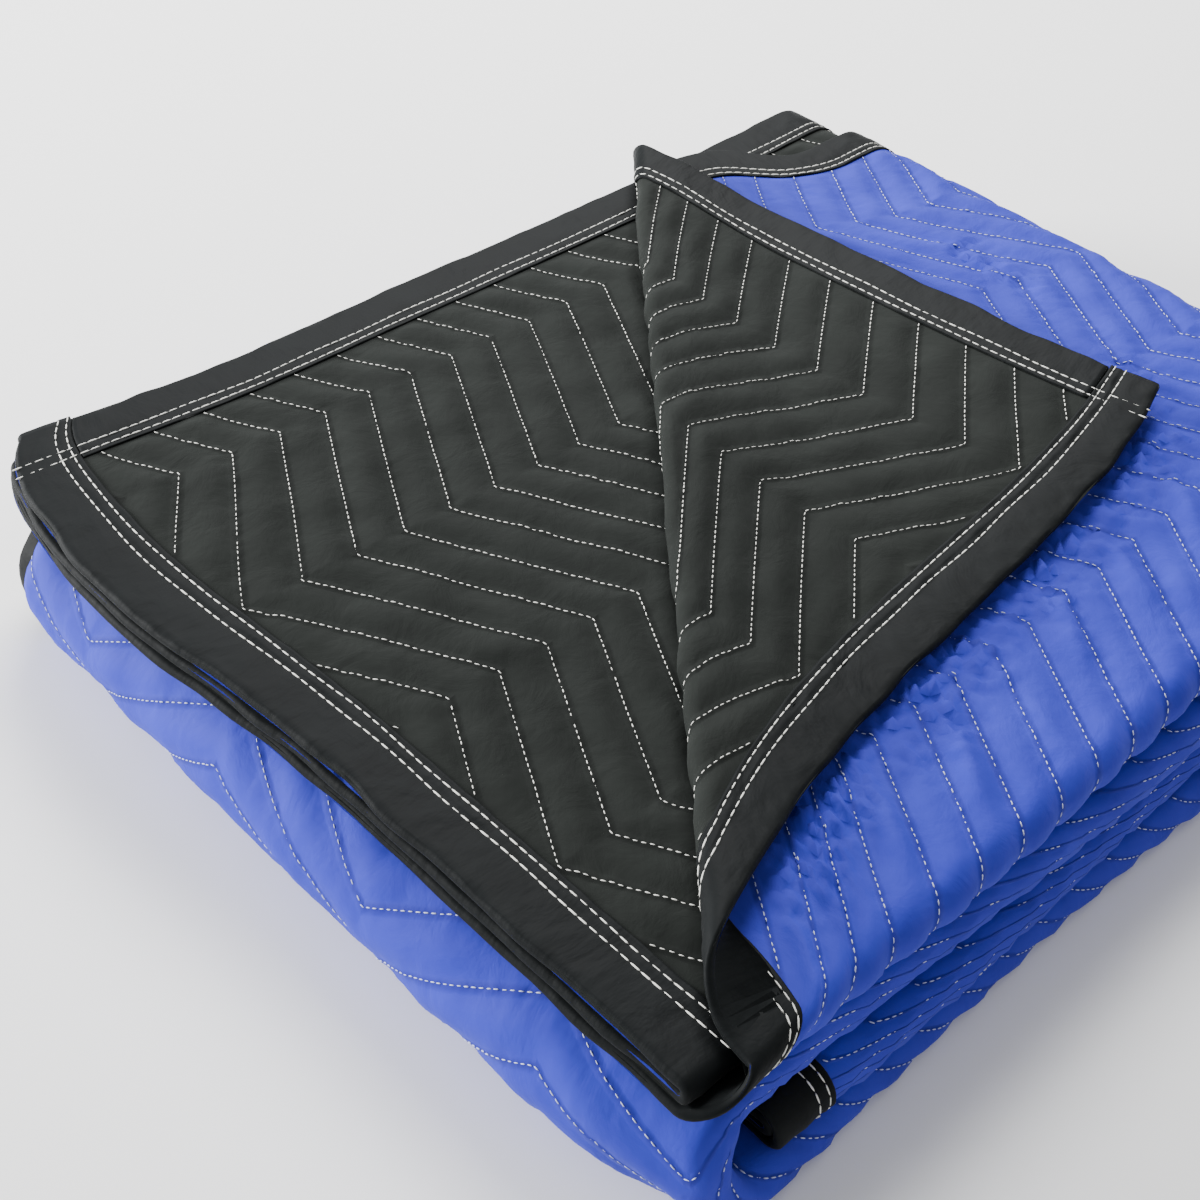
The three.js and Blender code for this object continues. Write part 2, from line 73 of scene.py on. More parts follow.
# How near two stations may lie, in mm.
SAME_STATION = 0.001
CLEAR_OF_EXTRA = 0.8
CLEAR_OF_NEXT = 0.05

Cloth = np.ndarray
"""Cloth coordinates, heights or shares, one value for each point, in mm where they are lengths."""

Span = tuple[float, float, float]
"""Start, end and greatest pitch of a stretch of the cloth, in mm."""


# ---------------------------------------------------------------------------------------------
# Small helpers
# ---------------------------------------------------------------------------------------------


def smooth(t: np.ndarray) -> np.ndarray:
    """Ease from 0 to 1.

    Args:
        t: How far along the ease is, from 0 to 1; past either end it stays there.

    Returns:
        The eased value.
    """
    t = np.clip(t, 0.0, 1.0)
    return t * t * (3.0 - 2.0 * t)


def bump(t: np.ndarray) -> np.ndarray:
    """Bell curve of height 1, centred on 0."""
    return np.exp(-t * t)


def linear_colour(code: str) -> tuple[float, float, float, float]:
    """Turn an sRGB hex colour into linear light.

    Args:
        code: The colour as six hex digits.

    Returns:
        Linear red, green and blue, and full opacity.
    """
    parts = [int(code[i : i + 2], 16) / 255 for i in (0, 2, 4)]
    linear = [c / 12.92 if c <= 0.04045 else ((c + 0.055) / 1.055) ** 2.4 for c in parts]
    return (*linear, 1.0)


def wander(a: np.ndarray, b: np.ndarray, wavelength: float, seed: int) -> np.ndarray:
    """Smooth unevenness of about -1 to 1, made of a few crossing waves.

    Args:
        a: Places across the cloth, in mm.
        b: Places along the cloth, in mm.
        wavelength: Typical distance between two swells, in mm.
        seed: Seed of the waves' headings and phases.

    Returns:
        The unevenness at each place.
    """
    dice = np.random.default_rng(seed)
    total = np.zeros(np.broadcast(a, b).shape)
    waves = 7
    for k in range(waves):
        heading = math.pi * (k + dice.uniform(0.0, 0.9)) / waves
        number = 2 * math.pi / (wavelength * dice.uniform(0.7, 1.5))
        phase = dice.uniform(0.0, 2 * math.pi)
        total += np.sin(number * (a * math.cos(heading) + b * math.sin(heading)) + phase)
    return total / math.sqrt(waves)


@dataclass(frozen=True)
class Unevenness:
    """Smooth unevenness of some height and wavelength in mm, with the seed of its waves."""

    size: float
    wavelength: float
    seed: int

    def height(self, a: Cloth, b: Cloth) -> Cloth:
        """Height of the unevenness at each place of the cloth."""
        return self.size * wander(a, b, self.wavelength, self.seed)


# ---------------------------------------------------------------------------------------------
# How the blanket is folded
# ---------------------------------------------------------------------------------------------


@dataclass(frozen=True)
class Leg:
    """One leg of a trace.

    Attributes:
        name: Its name.
        run: Length of a straight run.
        turn: Radius of a half turn.
        side: The way that it turns: 0 for straight on, -1 to the right, 1 to the left.
    """

    name: str
    run: float = 0.0
    turn: float = 0.0
    side: int = 0

    @property
    def length(self) -> float:
        """Length of the leg's line."""
        return self.run if self.side == 0 else math.pi * self.turn


@dataclass(frozen=True)
class Station:
    """Points of a trace: place (u, v), normal to the left of travel (nu, nv), and angle turned."""

    u: np.ndarray
    v: np.ndarray
    nu: np.ndarray
    nv: np.ndarray
    turned: np.ndarray


class Trace:
    """A traced line of straight runs and half turns."""

    def __init__(self, start: tuple[float, float], legs: Sequence[Leg]) -> None:
        """Lay the legs end to end.

        Args:
            start: Where the line starts; it sets off along +u.
            legs: The legs, in order.
        """
        self.legs = list(legs)
        u, v = start
        facing, along, turned = 1.0, 0.0, 0.0
        rows = []
        for leg in self.legs:
            rows.append((along, u, v, facing, turned, leg.turn, leg.side))
            if leg.side == 0:
                u += facing * leg.run
            else:
                v += leg.side * facing * 2 * leg.turn
                facing = -facing
                turned -= leg.side * math.pi
            along += leg.length
        self.length = along
        self._rows = np.array(rows)

    def at(self, distance: np.ndarray) -> Station:
        """Find points of the line.

        Args:
            distance: How far along the line each point lies.

        Returns:
            The points, with the normal and the angle turned at each.
        """
        distance = np.asarray(distance, dtype=float)
        index = np.searchsorted(self._rows[:, 0], distance, side="right") - 1
        columns = np.moveaxis(self._rows[np.maximum(index, 0)], -1, 0)
        along, u, v, facing, turned, turn, side = columns
        gone = distance - along
        straight = side == 0
        angle = np.where(straight, 0.0, gone / np.where(straight, 1.0, turn))
        return Station(
            u=u + facing * np.where(straight, gone, turn * np.sin(angle)),
            v=v + side * facing * turn * (1 - np.cos(angle)),
            nu=-side * facing * np.sin(angle),
            nv=facing * np.cos(angle),
            turned=turned - side * angle,
        )

    def stretches(self, pitches: Sequence[float], inset: float) -> list[Span]:
        """Give each leg a pitch.

        Args:
            pitches: Greatest pitch on each leg, in order.
            inset: How far from its ends the line is taken.

        Returns:
            Start, end and pitch of each leg.
        """
        ends = np.append(self._rows[:, 0], self.length)
        ends[0], ends[-1] = inset, self.length - inset
        return [(float(p), float(q), pitch) for p, q, pitch in zip(ends, ends[1:], pitches)]

    def span(self, name: str) -> tuple[float, float]:
        """Find a leg.

        Args:
            name: The leg's name.

        Returns:
            Where it starts and ends along the line.
        """
        index = [leg.name for leg in self.legs].index(name)
        start = float(self._rows[index, 0])
        return start, start + self.legs[index].length


@dataclass(frozen=True)
class FlapDraw:
    """How the turned-back corner has been swung and drawn, away from where a plain fold leaves it.

    It is told by two numbers: s along the crease and t away from it, each counted from the
    middle of the flap and 1 at about its far end. Moves are in mm.

    Attributes:
        middle: Distances along the crease and away from it at which s and t are 0.
        half_size: How far from there they are 1.
        moved: How far the middle of the flap has moved to the right and to the back.
        right_along: Moves to the right that grow with s, with its square and with its cube.
        right_away: The same for t.
        right_twist: Move to the right that grows with the square of s and with t.
        back_away: Moves to the back that grow with t, with its square and with its cube.
        back_bow: Move to the back of both ends of the crease.
        back_twist: Moves to the back that grow with s and t, with the square of s and with t,
            and with s and the square of t.
    """

    middle: tuple[float, float] = (40.0, 130.0)
    half_size: tuple[float, float] = (300.0, 150.0)
    moved: tuple[float, float] = (-36.0, 11.0)
    right_along: tuple[float, float, float] = (9.0, 3.0, -3.0)
    right_away: tuple[float, float, float] = (10.0, 18.0, -28.0)
    right_twist: float = -20.0
    back_away: tuple[float, float, float] = (-5.0, 15.0, -9.0)
    back_bow: float = 23.0
    back_twist: tuple[float, float, float] = (26.0, 55.0, 13.0)

    def moves(self, along: Cloth, away: Cloth) -> tuple[Cloth, Cloth]:
        """Work out the moves.

        Args:
            along: Places along the crease, in mm.
            away: Distances past the crease, in mm.

        Returns:
            Moves to the right and to the back, in mm.
        """
        s = (along - self.middle[0]) / self.half_size[0]
        t = (away - self.middle[1]) / self.half_size[1]
        right, back = self.moved
        for power in range(3):
            right = right + self.right_along[power] * s ** (power + 1)
            right = right + self.right_away[power] * t ** (power + 1)
            back = back + self.back_away[power] * t ** (power + 1)
        right = right + self.right_twist * s**2 * t
        even, bowed, late = self.back_twist
        back = back + self.back_bow * s**2 + even * s * t + bowed * s**2 * t + late * s * t**2
        return right, back


@dataclass(frozen=True)
class Settling:
    """How weight and handling have changed the pile's plain folds.

    Lengths are in mm; places are counted from the left edge and from the front edge.

    Attributes:
        middle_height: Height of the pile's middle, as a share of its plain height.
        front_rise: How much higher its front is, over front_reach from front_start.
        back_rise: How much higher its back is, over back_reach from back_start.
        unevenness: Height of slow swells in all layers, as a share.
        swell_waves: Their waves across and along the pile, and swell_phases their phases.
        right_wave: How far the right side waves in and out, over right_reach from right_start.
        left_wave: How far the left side waves, over left_reach.
        side_waves: The waves of both sides, and side_phases how they differ between the runs.
        edge_pushed: How far the front edge is pushed back at its left corner, over corner_reach.
        edge_pulled: How far it bows out beside that, at bow_place and over bow_reach.
        bulge_bow: How far the front bulge bows out in the middle, within bulge_reach of the front.
        bulge_turns: How many half turns the pile has made halfway round the front bulge.
    """

    middle_height: float = 0.97
    front_rise: float = 0.03
    front_start: float = 120.0
    front_reach: float = 120.0
    back_rise: float = 0.19
    back_start: float = 230.0
    back_reach: float = 290.0
    unevenness: float = 0.012
    swell_waves: tuple[float, float] = (70.0, 85.0)
    swell_phases: tuple[float, float] = (1.0, 0.4)
    right_wave: float = 2.6
    right_start: float = 300.0
    right_reach: float = 130.0
    left_wave: float = 3.0
    left_reach: float = 110.0
    side_waves: tuple[float, float] = (71.0, 57.0)
    side_phases: tuple[float, float] = (0.7, 0.8)
    edge_pushed: float = 17.0
    corner_reach: float = 16.0
    edge_pulled: float = 11.0
    bow_place: float = 110.0
    bow_reach: float = 80.0
    bulge_bow: float = 4.0
    bulge_reach: float = 90.0
    bulge_turns: float = 1.5


@dataclass(frozen=True)
class BulgeEnds:
    """How the ends of the front bulge are pulled in, in mm.

    Attributes:
        fade_in: Over how much of the bottom run the pull grows.
        fade_out: How far before the end of the bulge it starts to fade, and over how much.
        left: How far the left end is pulled to the right, and over what width.
        inner_left: How much further that is for the layers inside, and over what width.
        curl: How far the outer layer's edge curls inwards, and over what width.
        right: How far the right end is pulled back, from where before the wide fold, and over
            what width.
    """

    fade_in: float = 90.0
    fade_out: tuple[float, float] = (20.0, 60.0)
    left: tuple[float, float] = (5.6, 130.0)
    inner_left: tuple[float, float] = (27.2, 70.0)
    curl: tuple[float, float] = (28.8, 46.0)
    right: tuple[float, float, float] = (16.0, 60.0, 90.0)


@dataclass(frozen=True)
class FoldedPile:
    """Sizes of the folded blanket, in mm, and the way from cloth coordinates to the pile.

    Attributes:
        layer_pitch: From one layer of the slab to the next, where they lie tight.
        top_pitch: From the second layer to the top layer.
        half_cloth: Half the thickness of the quilted cloth.
        fold_x: Where the wide fold on the right starts.
        left_fold_x: Where the fold on the left starts.
        second_edge_x: Where the side edge of the second layer lies.
        run_gap: Gap between two runs of the slab.
        inner_roll_gap: How much the innermost turn is kept open.
        front_end_y: Where the front end of the top run lies.
        back_fold_y: Where the back fold starts.
        inner_fold_y: Where the inner back fold starts.
        bulge_y: Where the front bulge starts.
        third_end_y: Where the inner end of the cloth lies.
        crease_angle: Angle of the crease of the turned-back corner.
        crease_reach: How far the crease lies from the corner of the pile.
        crease_roll: Radius of the cloth's middle surface round the crease.
        curl: Where the flap starts to curl up, over what length, and by how much.
        flap_drop: How far the flap sinks onto the top layer, over drop_reach.
        flap_ease: Over how much of the top layer the flap's draw fades.
        skew_back: How far the top layer's left side has slipped to the back.
        skew_inward: How far it has slipped inwards near the back.
        skew_far: Where that starts along the cloth, and over what length.
        skew_ease: Where it ends, and over what length.
        stagger: How much further in each lower layer ends, as a share of its depth, and over
            what length.
        front_reach: How far from the front edge its bow fades.
        lean: How far the right side leans out at the floor.
        pressed: Height of cloth that is pressed on the floor.
        corner_shift: From the pile's front left corner to the frame.
        flap: How the turned-back corner has been drawn.
        settling: How the pile has settled.
        ends: How the ends of the front bulge are pulled in.
    """

    layer_pitch: float = 5.3
    top_pitch: float = 5.1
    half_cloth: float = 2.2
    fold_x: float = 426.0
    left_fold_x: float = 8.0
    second_edge_x: float = -2.0
    run_gap: float = 0.6
    inner_roll_gap: float = 0.8
    front_end_y: float = -16.0
    back_fold_y: float = 503.0
    inner_fold_y: float = 483.0
    bulge_y: float = 0.0
    third_end_y: float = 18.0
    crease_angle: float = math.radians(-41.2)
    crease_reach: float = 286.0
    crease_roll: float = 7.8
    curl: tuple[float, float, float] = (120.0, 130.0, 2.5)
    flap_drop: float = 7.0
    drop_reach: float = 90.0
    flap_ease: float = 80.0
    skew_back: float = 19.0
    skew_inward: float = 45.0
    skew_far: tuple[float, float] = (380.0, 120.0)
    skew_ease: tuple[float, float] = (650.0, 250.0)
    stagger: tuple[float, float] = (0.25, 60.0)
    front_reach: float = 90.0
    lean: float = 18.0
    pressed: float = 0.4
    corner_shift: tuple[float, float] = (-224.663, -254.753)
    flap: FlapDraw = FlapDraw()
    settling: Settling = Settling()
    ends: BulgeEnds = BulgeEnds()

    def __post_init__(self) -> None:
        """Lay out the slab's section and its path along the pile."""
        tight = self.layer_pitch / 2
        wide = (2 * self.layer_pitch + self.top_pitch) / 2
        half = wide + self.half_cloth
        inner_roll = half + self.inner_roll_gap
        bottom_z = half
        second_z = bottom_z + 2 * half + self.run_gap + 2 * inner_roll
        top_z = second_z + 2 * half + self.run_gap
        layer = self.fold_x - self.left_fold_x
        slab = Trace(
            (0.0, wide),
            [
                Leg("top layer", run=self.fold_x),
                Leg("wide fold", turn=wide, side=-1),
                Leg("bottom layer", run=layer),
                Leg("left fold", turn=tight, side=-1),
                Leg("third layer", run=layer),
                Leg("inner fold", turn=tight, side=1),
                Leg("second layer", run=self.fold_x - self.second_edge_x),
            ],
        )
        roll = Trace(
            (self.front_end_y, top_z),
            [
                Leg("top run", run=self.back_fold_y - self.front_end_y),
                Leg("back fold", turn=(top_z - bottom_z) / 2, side=-1),
                Leg("bottom run", run=self.back_fold_y - self.bulge_y),
                Leg("front bulge", turn=(second_z - bottom_z) / 2, side=-1),
                Leg("second run", run=self.inner_fold_y - self.bulge_y),
                Leg("inner back fold", turn=inner_roll, side=-1),
                Leg("third run", run=self.inner_fold_y - self.third_end_y),
            ],
        )
        for name, value in {
            "slab": slab,
            "roll": roll,
            "wide_fold": wide,
            "slab_half": half,
            "top_z": top_z,
        }.items():
            object.__setattr__(self, name, value)

    def askew(self, a: Cloth, b: Cloth) -> tuple[Cloth, Cloth]:
        """Work out how far the top layer has slipped.

        Args:
            a: Places across the cloth.
            b: Places along the cloth.

        Returns:
            Moves to the right and to the back.
        """
        share = np.clip(1 - a / self.fold_x, 0.0, 1.0)
        near = 1 - np.clip(a / self.fold_x, 0.0, 1.0) ** 3
        far = smooth((b - self.skew_far[0]) / self.skew_far[1])
        ease = 1 - smooth((b - self.skew_ease[0]) / self.skew_ease[1])
        return self.skew_inward * far * ease * share, self.skew_back * (1 - far) * near

    def from_crease(self, a: Cloth, b: Cloth) -> tuple[Cloth, Cloth]:
        """Find points of the top layer as seen from the crease.

        Args:
            a: Places across the cloth.
            b: Places along the cloth.

        Returns:
            Places along the crease, and distances past it towards the top layer's corner.
        """
        y = b + self.front_end_y + self.skew_back
        cosine, sine = math.cos(self.crease_angle), math.sin(self.crease_angle)
        return a * cosine + y * sine, a * sine - y * cosine + self.crease_reach

    def past_crease(self, a: Cloth, b: Cloth) -> Cloth:
        """How far points lie past the crease, towards the top layer's corner."""
        return self.from_crease(a, b)[1]

    def turn_back(
        self, along: Cloth, past: Cloth, off: Cloth, drawn: tuple[Cloth, Cloth]
    ) -> tuple[Cloth, Cloth, Cloth]:
        """Half a turn round the crease, then flat back over the top layer.

        Args:
            along: Places along the crease.
            past: Distances past it, 0 or more.
            off: Distances out of the cloth's middle surface.
            drawn: The flap's draw to the right and to the back.

        Returns:
            The three coordinates.
        """
        cosine, sine = math.cos(self.crease_angle), math.sin(self.crease_angle)
        angle = np.clip(past / self.crease_roll, 0.0, math.pi)
        radius = self.crease_roll - off
        flat = np.maximum(past - math.pi * self.crease_roll, 0.0)
        across = radius * np.sin(angle) - flat - self.crease_reach
        drop = self.flap_drop * smooth(flat / self.drop_reach)
        start, reach, rise = self.curl
        curl = rise * np.maximum((flat - start) / reach, 0.0) ** 2
        x = along * cosine + across * sine + drawn[0]
        y = along * sine - across * cosine + drawn[1]
        z = self.top_z + self.wide_fold + self.crease_roll - radius * np.cos(angle) + curl - drop
        return x, y, z

    def settle(
        self, place: tuple[Cloth, Cloth, Cloth], front: Cloth, turned: Cloth
    ) -> tuple[Cloth, Cloth, Cloth]:
        """Settle the pile: higher at the back, sunk in the middle, leaning out to the right
        towards the floor, its sides wavy and its front corners round.

        Args:
            place: The three coordinates of plainly folded points.
            front: 1 at the front edge of the top run, 0 away from it.
            turned: Angle that the pile has turned through at each point.

        Returns:
            The three coordinates of the settled points.
        """
        x, y, z = place
        how = self.settling
        level = z / (self.top_z + self.slab_half)
        swell = how.middle_height + how.front_rise * smooth((how.front_start - y) / how.front_reach)
        swell = swell + how.back_rise * smooth((y - how.back_start) / how.back_reach)
        waves = zip((x, y), how.swell_waves, how.swell_phases)
        uneven = 1 + how.unevenness * math.prod(np.sin(v / wave + p) for v, wave, p in waves)
        lean = self.lean * np.maximum(1 - level, 0.0) * smooth(x / self.fold_x)
        at_right, at_left = (
            np.sin(y / wave + phase * turned)
            for wave, phase in zip(how.side_waves, how.side_phases)
        )
        right = how.right_wave * smooth((x - how.right_start) / how.right_reach) * at_right
        left = how.left_wave * smooth((how.left_reach - x) / how.left_reach) * at_left
        pushed = how.edge_pushed * np.exp(-np.maximum(x, 0.0) / how.corner_reach)
        edge_bow = pushed - how.edge_pulled * bump((x - how.bow_place) / how.bow_reach)
        in_bulge = smooth(1 - np.abs(turned / math.pi - how.bulge_turns))
        in_bulge = in_bulge * smooth((how.bulge_reach - y) / how.bulge_reach)
        bulge_bow = how.bulge_bow * (1 - (2 * x / self.fold_x - 1) ** 2)
        return (
            x + lean + right + left,
            y + front * edge_bow - in_bulge * bulge_bow,
            z * swell * uneven,
        )

    def pull_in(self, a: Cloth, b: Cloth, u: Cloth) -> tuple[Cloth, Cloth, Cloth]:
        """Pull in the ends of the front bulge, and curl the outer layer round its left end.

        Args:
            a: Places across the cloth.
            b: Places along the cloth.
            u: Places across the folded pile.

        Returns:
            Moves to the right, to the back and inwards.
        """
        start, end = self.roll.span("front bulge")
        ends = self.ends
        before, fade = ends.fade_out
        bulge = smooth((b - start + ends.fade_in) / ends.fade_in)
        bulge = bulge * (1 - smooth((b - end + before) / fade))
        outer = a < self.slab.span("top layer")[1]
        right = ends.left[0] * smooth(1 - u / ends.left[1])
        inner = ends.inner_left[0] * smooth(1 - u / ends.inner_left[1])
        inwards = ends.curl[0] * smooth(1 - a / ends.curl[1])
        pull, before, width = ends.right
        back = pull * smooth((u - self.fold_x + before) / width)
        right = right + np.where(outer, 0.0, inner)
        return right * bulge, back * bulge, np.where(outer, inwards, 0.0) * bulge

    def place(self, a: np.ndarray, b: np.ndarray, off: np.ndarray) -> np.ndarray:
        """Fold cloth points.

        Args:
            a: Places across the cloth, in mm.
            b: Places along the cloth, in mm.
            off: Distances out of its middle surface, in mm.

        Returns:
            Places in the frame, in metres, with the coordinates in the last axis.
        """
        a, b, off = np.broadcast_arrays(
            np.asarray(a, dtype=float), np.asarray(b, dtype=float), np.asarray(off, dtype=float)
        )
        s, r = self.slab.at(a), self.roll.at(b)
        pulled_x, pulled_y, curled = self.pull_in(a, b, s.u)
        height = s.v + s.nv * off - curled
        dx, dy = self.askew(a, b)
        drop = (height - self.wide_fold) * smooth(1 - b / self.stagger[1])
        along, past = self.from_crease(a, b)
        beyond = np.maximum(past, 0.0)
        drawn = self.flap.moves(along, beyond)
        held = smooth(1 + past / self.flap_ease)
        held = held * (1 - smooth((a - self.fold_x) / (math.pi * self.wide_fold)))
        x = s.u + s.nu * off + dx + held * (drawn[0] - dx) + pulled_x
        y = r.u + r.nu * height + self.stagger[0] * drop + dy
        y = y + held * (drawn[1] + self.skew_back - dy) + pulled_y
        plain = (x, y, r.v + r.nv * height)
        over = past > 0
        turned_back = self.turn_back(along, beyond, off, drawn)
        x, y, z = (np.where(over, t, p) for t, p in zip(turned_back, plain))
        front = np.where(over, 0.0, smooth(1 - b / self.front_reach))
        x, y, z = self.settle((x, y, z), front, np.where(over, 0.0, r.turned))
        resting = np.maximum(z, self.pressed)
        moved = [x + self.corner_shift[0], y + self.corner_shift[1], resting]
        return np.stack(moved, axis=-1) * MM


@dataclass(frozen=True)
class Quilting:
    """Rows of zigzag stitching that hold face, padding and back together. Sizes in mm.

    Attributes:
        pile: The folds, whose outer layers are longer round a turn.
        row: From one row to the next along the cloth.
        half_period: From one turn of the zigzag to the next across the cloth.
        rows_per_slope: How many rows the zigzag climbs between two turns.
        row_start: Where a row meets the first turn.
        top_layer_peak: Where the zigzag turns, counted in from the top layer's side edge.
        second_layer_peak: The same from the second layer's side edge.
        change_over: Where across the cloth the one count gives way to the other.
        stitch_groove: How round the pillows are beside a stitch line.
        step: Pitch of the points that a stitch line is drawn through.
    """

    pile: FoldedPile
    row: float = 26.0
    half_period: float = 90.8
    rows_per_slope: float = 2.0
    row_start: float = 5.9
    top_layer_peak: float = 94.5
    second_layer_peak: float = 64.0
    change_over: float = 700.0
    stitch_groove: float = 0.015
    step: float = 2.5

    def slope_rows(self, a: Cloth) -> Cloth:
        """Count the rows climbed by the zigzag, in from either side edge of the cloth.

        Args:
            a: Places across the cloth.

        Returns:
            The rows climbed at each place.
        """
        second = np.asarray(a) > self.change_over
        peak = np.where(second, self.pile.slab.length - self.second_layer_peak, self.top_layer_peak)
        phase = np.abs(np.mod((a - peak) / self.half_period + 1, 2) - 1)
        return self.rows_per_slope * np.where(second, 1 - phase, phase)

    def peaks(self, start: float, end: float) -> Cloth:
        """Find where the zigzag turns.

        Args:
            start: Where to start across the cloth.
            end: Where to end.

        Returns:
            The turns between the two places, in order.
        """
        length = self.pile.slab.length
        half_periods = math.ceil(length / self.half_period)
        steps = np.arange(-half_periods, half_periods + 1) * self.half_period
        first = self.top_layer_peak + steps
        second = length - self.second_layer_peak + steps
        both = np.concatenate([first[first <= self.change_over], second[second > self.change_over]])
        return np.sort(both[(both > start) & (both < end)])

    def row_number(self, a: Cloth, b: Cloth) -> Cloth:
        """Count the rows along the cloth. A layer's own length, which is longer round the
        outside of a turn, sets its rows apart.

        Args:
            a: Places across the cloth.
            b: Places along the cloth.

        Returns:
            The number at each place, whole on a stitch line.
        """
        own = b + self.pile.slab.at(a).v * self.pile.roll.at(b).turned
        return (own - self.row_start) / self.row - self.slope_rows(a)

    def pillow(self, a: Cloth, b: Cloth) -> Cloth:
        """Shape the pillow between two stitch lines.

        Args:
            a: Places across the cloth.
            b: Places along the cloth.

        Returns:
            0 on a stitch line, 1 on the crown of the pillow.
        """
        number = self.row_number(a, b)
        away = 2 * np.abs(number - np.round(number))
        rounded = np.sqrt(away**2 + self.stitch_groove) - math.sqrt(self.stitch_groove)
        return 1 - (1 - np.clip(rounded, 0.0, 1.0)) ** 2

    def lines(
        self, start: float, end: float, along: tuple[float, float]
    ) -> list[tuple[np.ndarray, np.ndarray]]:
        """Stitch lines between two places across the cloth.

        Args:
            start: Where the lines start across the cloth.
            end: Where they end.
            along: First and last place along the cloth.

        Returns:
            One pair of arrays of a and b for each row.
        """
        even = np.arange(start, end, self.step)
        a = np.unique(np.concatenate([even, [end], self.peaks(start, end)]))
        b = np.arange(along[0], along[1], 2.0)
        numbers = self.row_number(a[:, None], b[None, :])
        found = []
        for row in range(int(numbers.min()), int(numbers.max()) + 1):
            inside = (numbers[:, 0] <= row) & (numbers[:, -1] >= row)
            where = np.array([np.interp(row, line, b) for line in numbers])
            for piece in split_where(inside):
                found.append((a[piece], where[piece]))
        return found


def split_where(keep: np.ndarray) -> list[np.ndarray]:
    """Split a line where parts of it are left out.

    Args:
        keep: True at the points that are kept.

    Returns:
        The kept points' indices, in unbroken stretches of two or more.
    """
    index = np.flatnonzero(keep)
    if index.size == 0:
        return []
    pieces = np.split(index, np.flatnonzero(np.diff(index) > 1) + 1)
    return [piece for piece in pieces if piece.size > 1]


# ---------------------------------------------------------------------------------------------
# Finishes
# ---------------------------------------------------------------------------------------------


def add_node(
    tree: bpy.types.NodeTree,
    kind: str,
    settings: dict[str, Any] | None = None,
    inputs: dict[Any, Any] | None = None,
) -> bpy.types.Node:
    """Add a node with its settings and links.

    Args:
        tree: The tree to add it to.
        kind: The node's type.
        settings: Properties of the node.
        inputs: Values or output sockets for the inputs, by name or number.

    Returns:
        The new node.
    """
    node = tree.nodes.new(kind)
    for name, value in (settings or {}).items():
        setattr(node, name, value)
    for name, value in (inputs or {}).items():
        if isinstance(value, bpy.types.NodeSocket):
            tree.links.new(value, node.inputs[name])
        else:
            node.inputs[name].default_value = value
    return node


def new_material(name: str) -> tuple[bpy.types.Material, bpy.types.NodeTree, bpy.types.Node]:
    """Make a material with one Principled shader.

    Args:
        name: The material's name.

    Returns:
        The material, its tree and its shader node.
    """
    material = bpy.data.materials.new(name)
    material.use_nodes = True
    tree = material.node_tree
    return material, tree, tree.nodes["Principled BSDF"]


def emboss(
    tree: bpy.types.NodeTree,
    shader: bpy.types.Node,
    layers: Sequence[tuple[bpy.types.NodeSocket, float, float]],
) -> None:
    """Give a shader fine relief.

    Args:
        tree: The material's tree.
        shader: Its shader.
        layers: The height, the depth in mm and the strength of each layer, the coarsest first.
    """
    normal: dict[str, bpy.types.NodeSocket] = {}
    for height, depth, strength in layers:
        inputs = {"Height": height, "Distance": depth * MM, "Strength": strength, **normal}
        relief = add_node(tree, "ShaderNodeBump", inputs=inputs)
        normal = {"Normal": relief.outputs["Normal"]}
    tree.links.new(normal["Normal"], shader.inputs["Normal"])


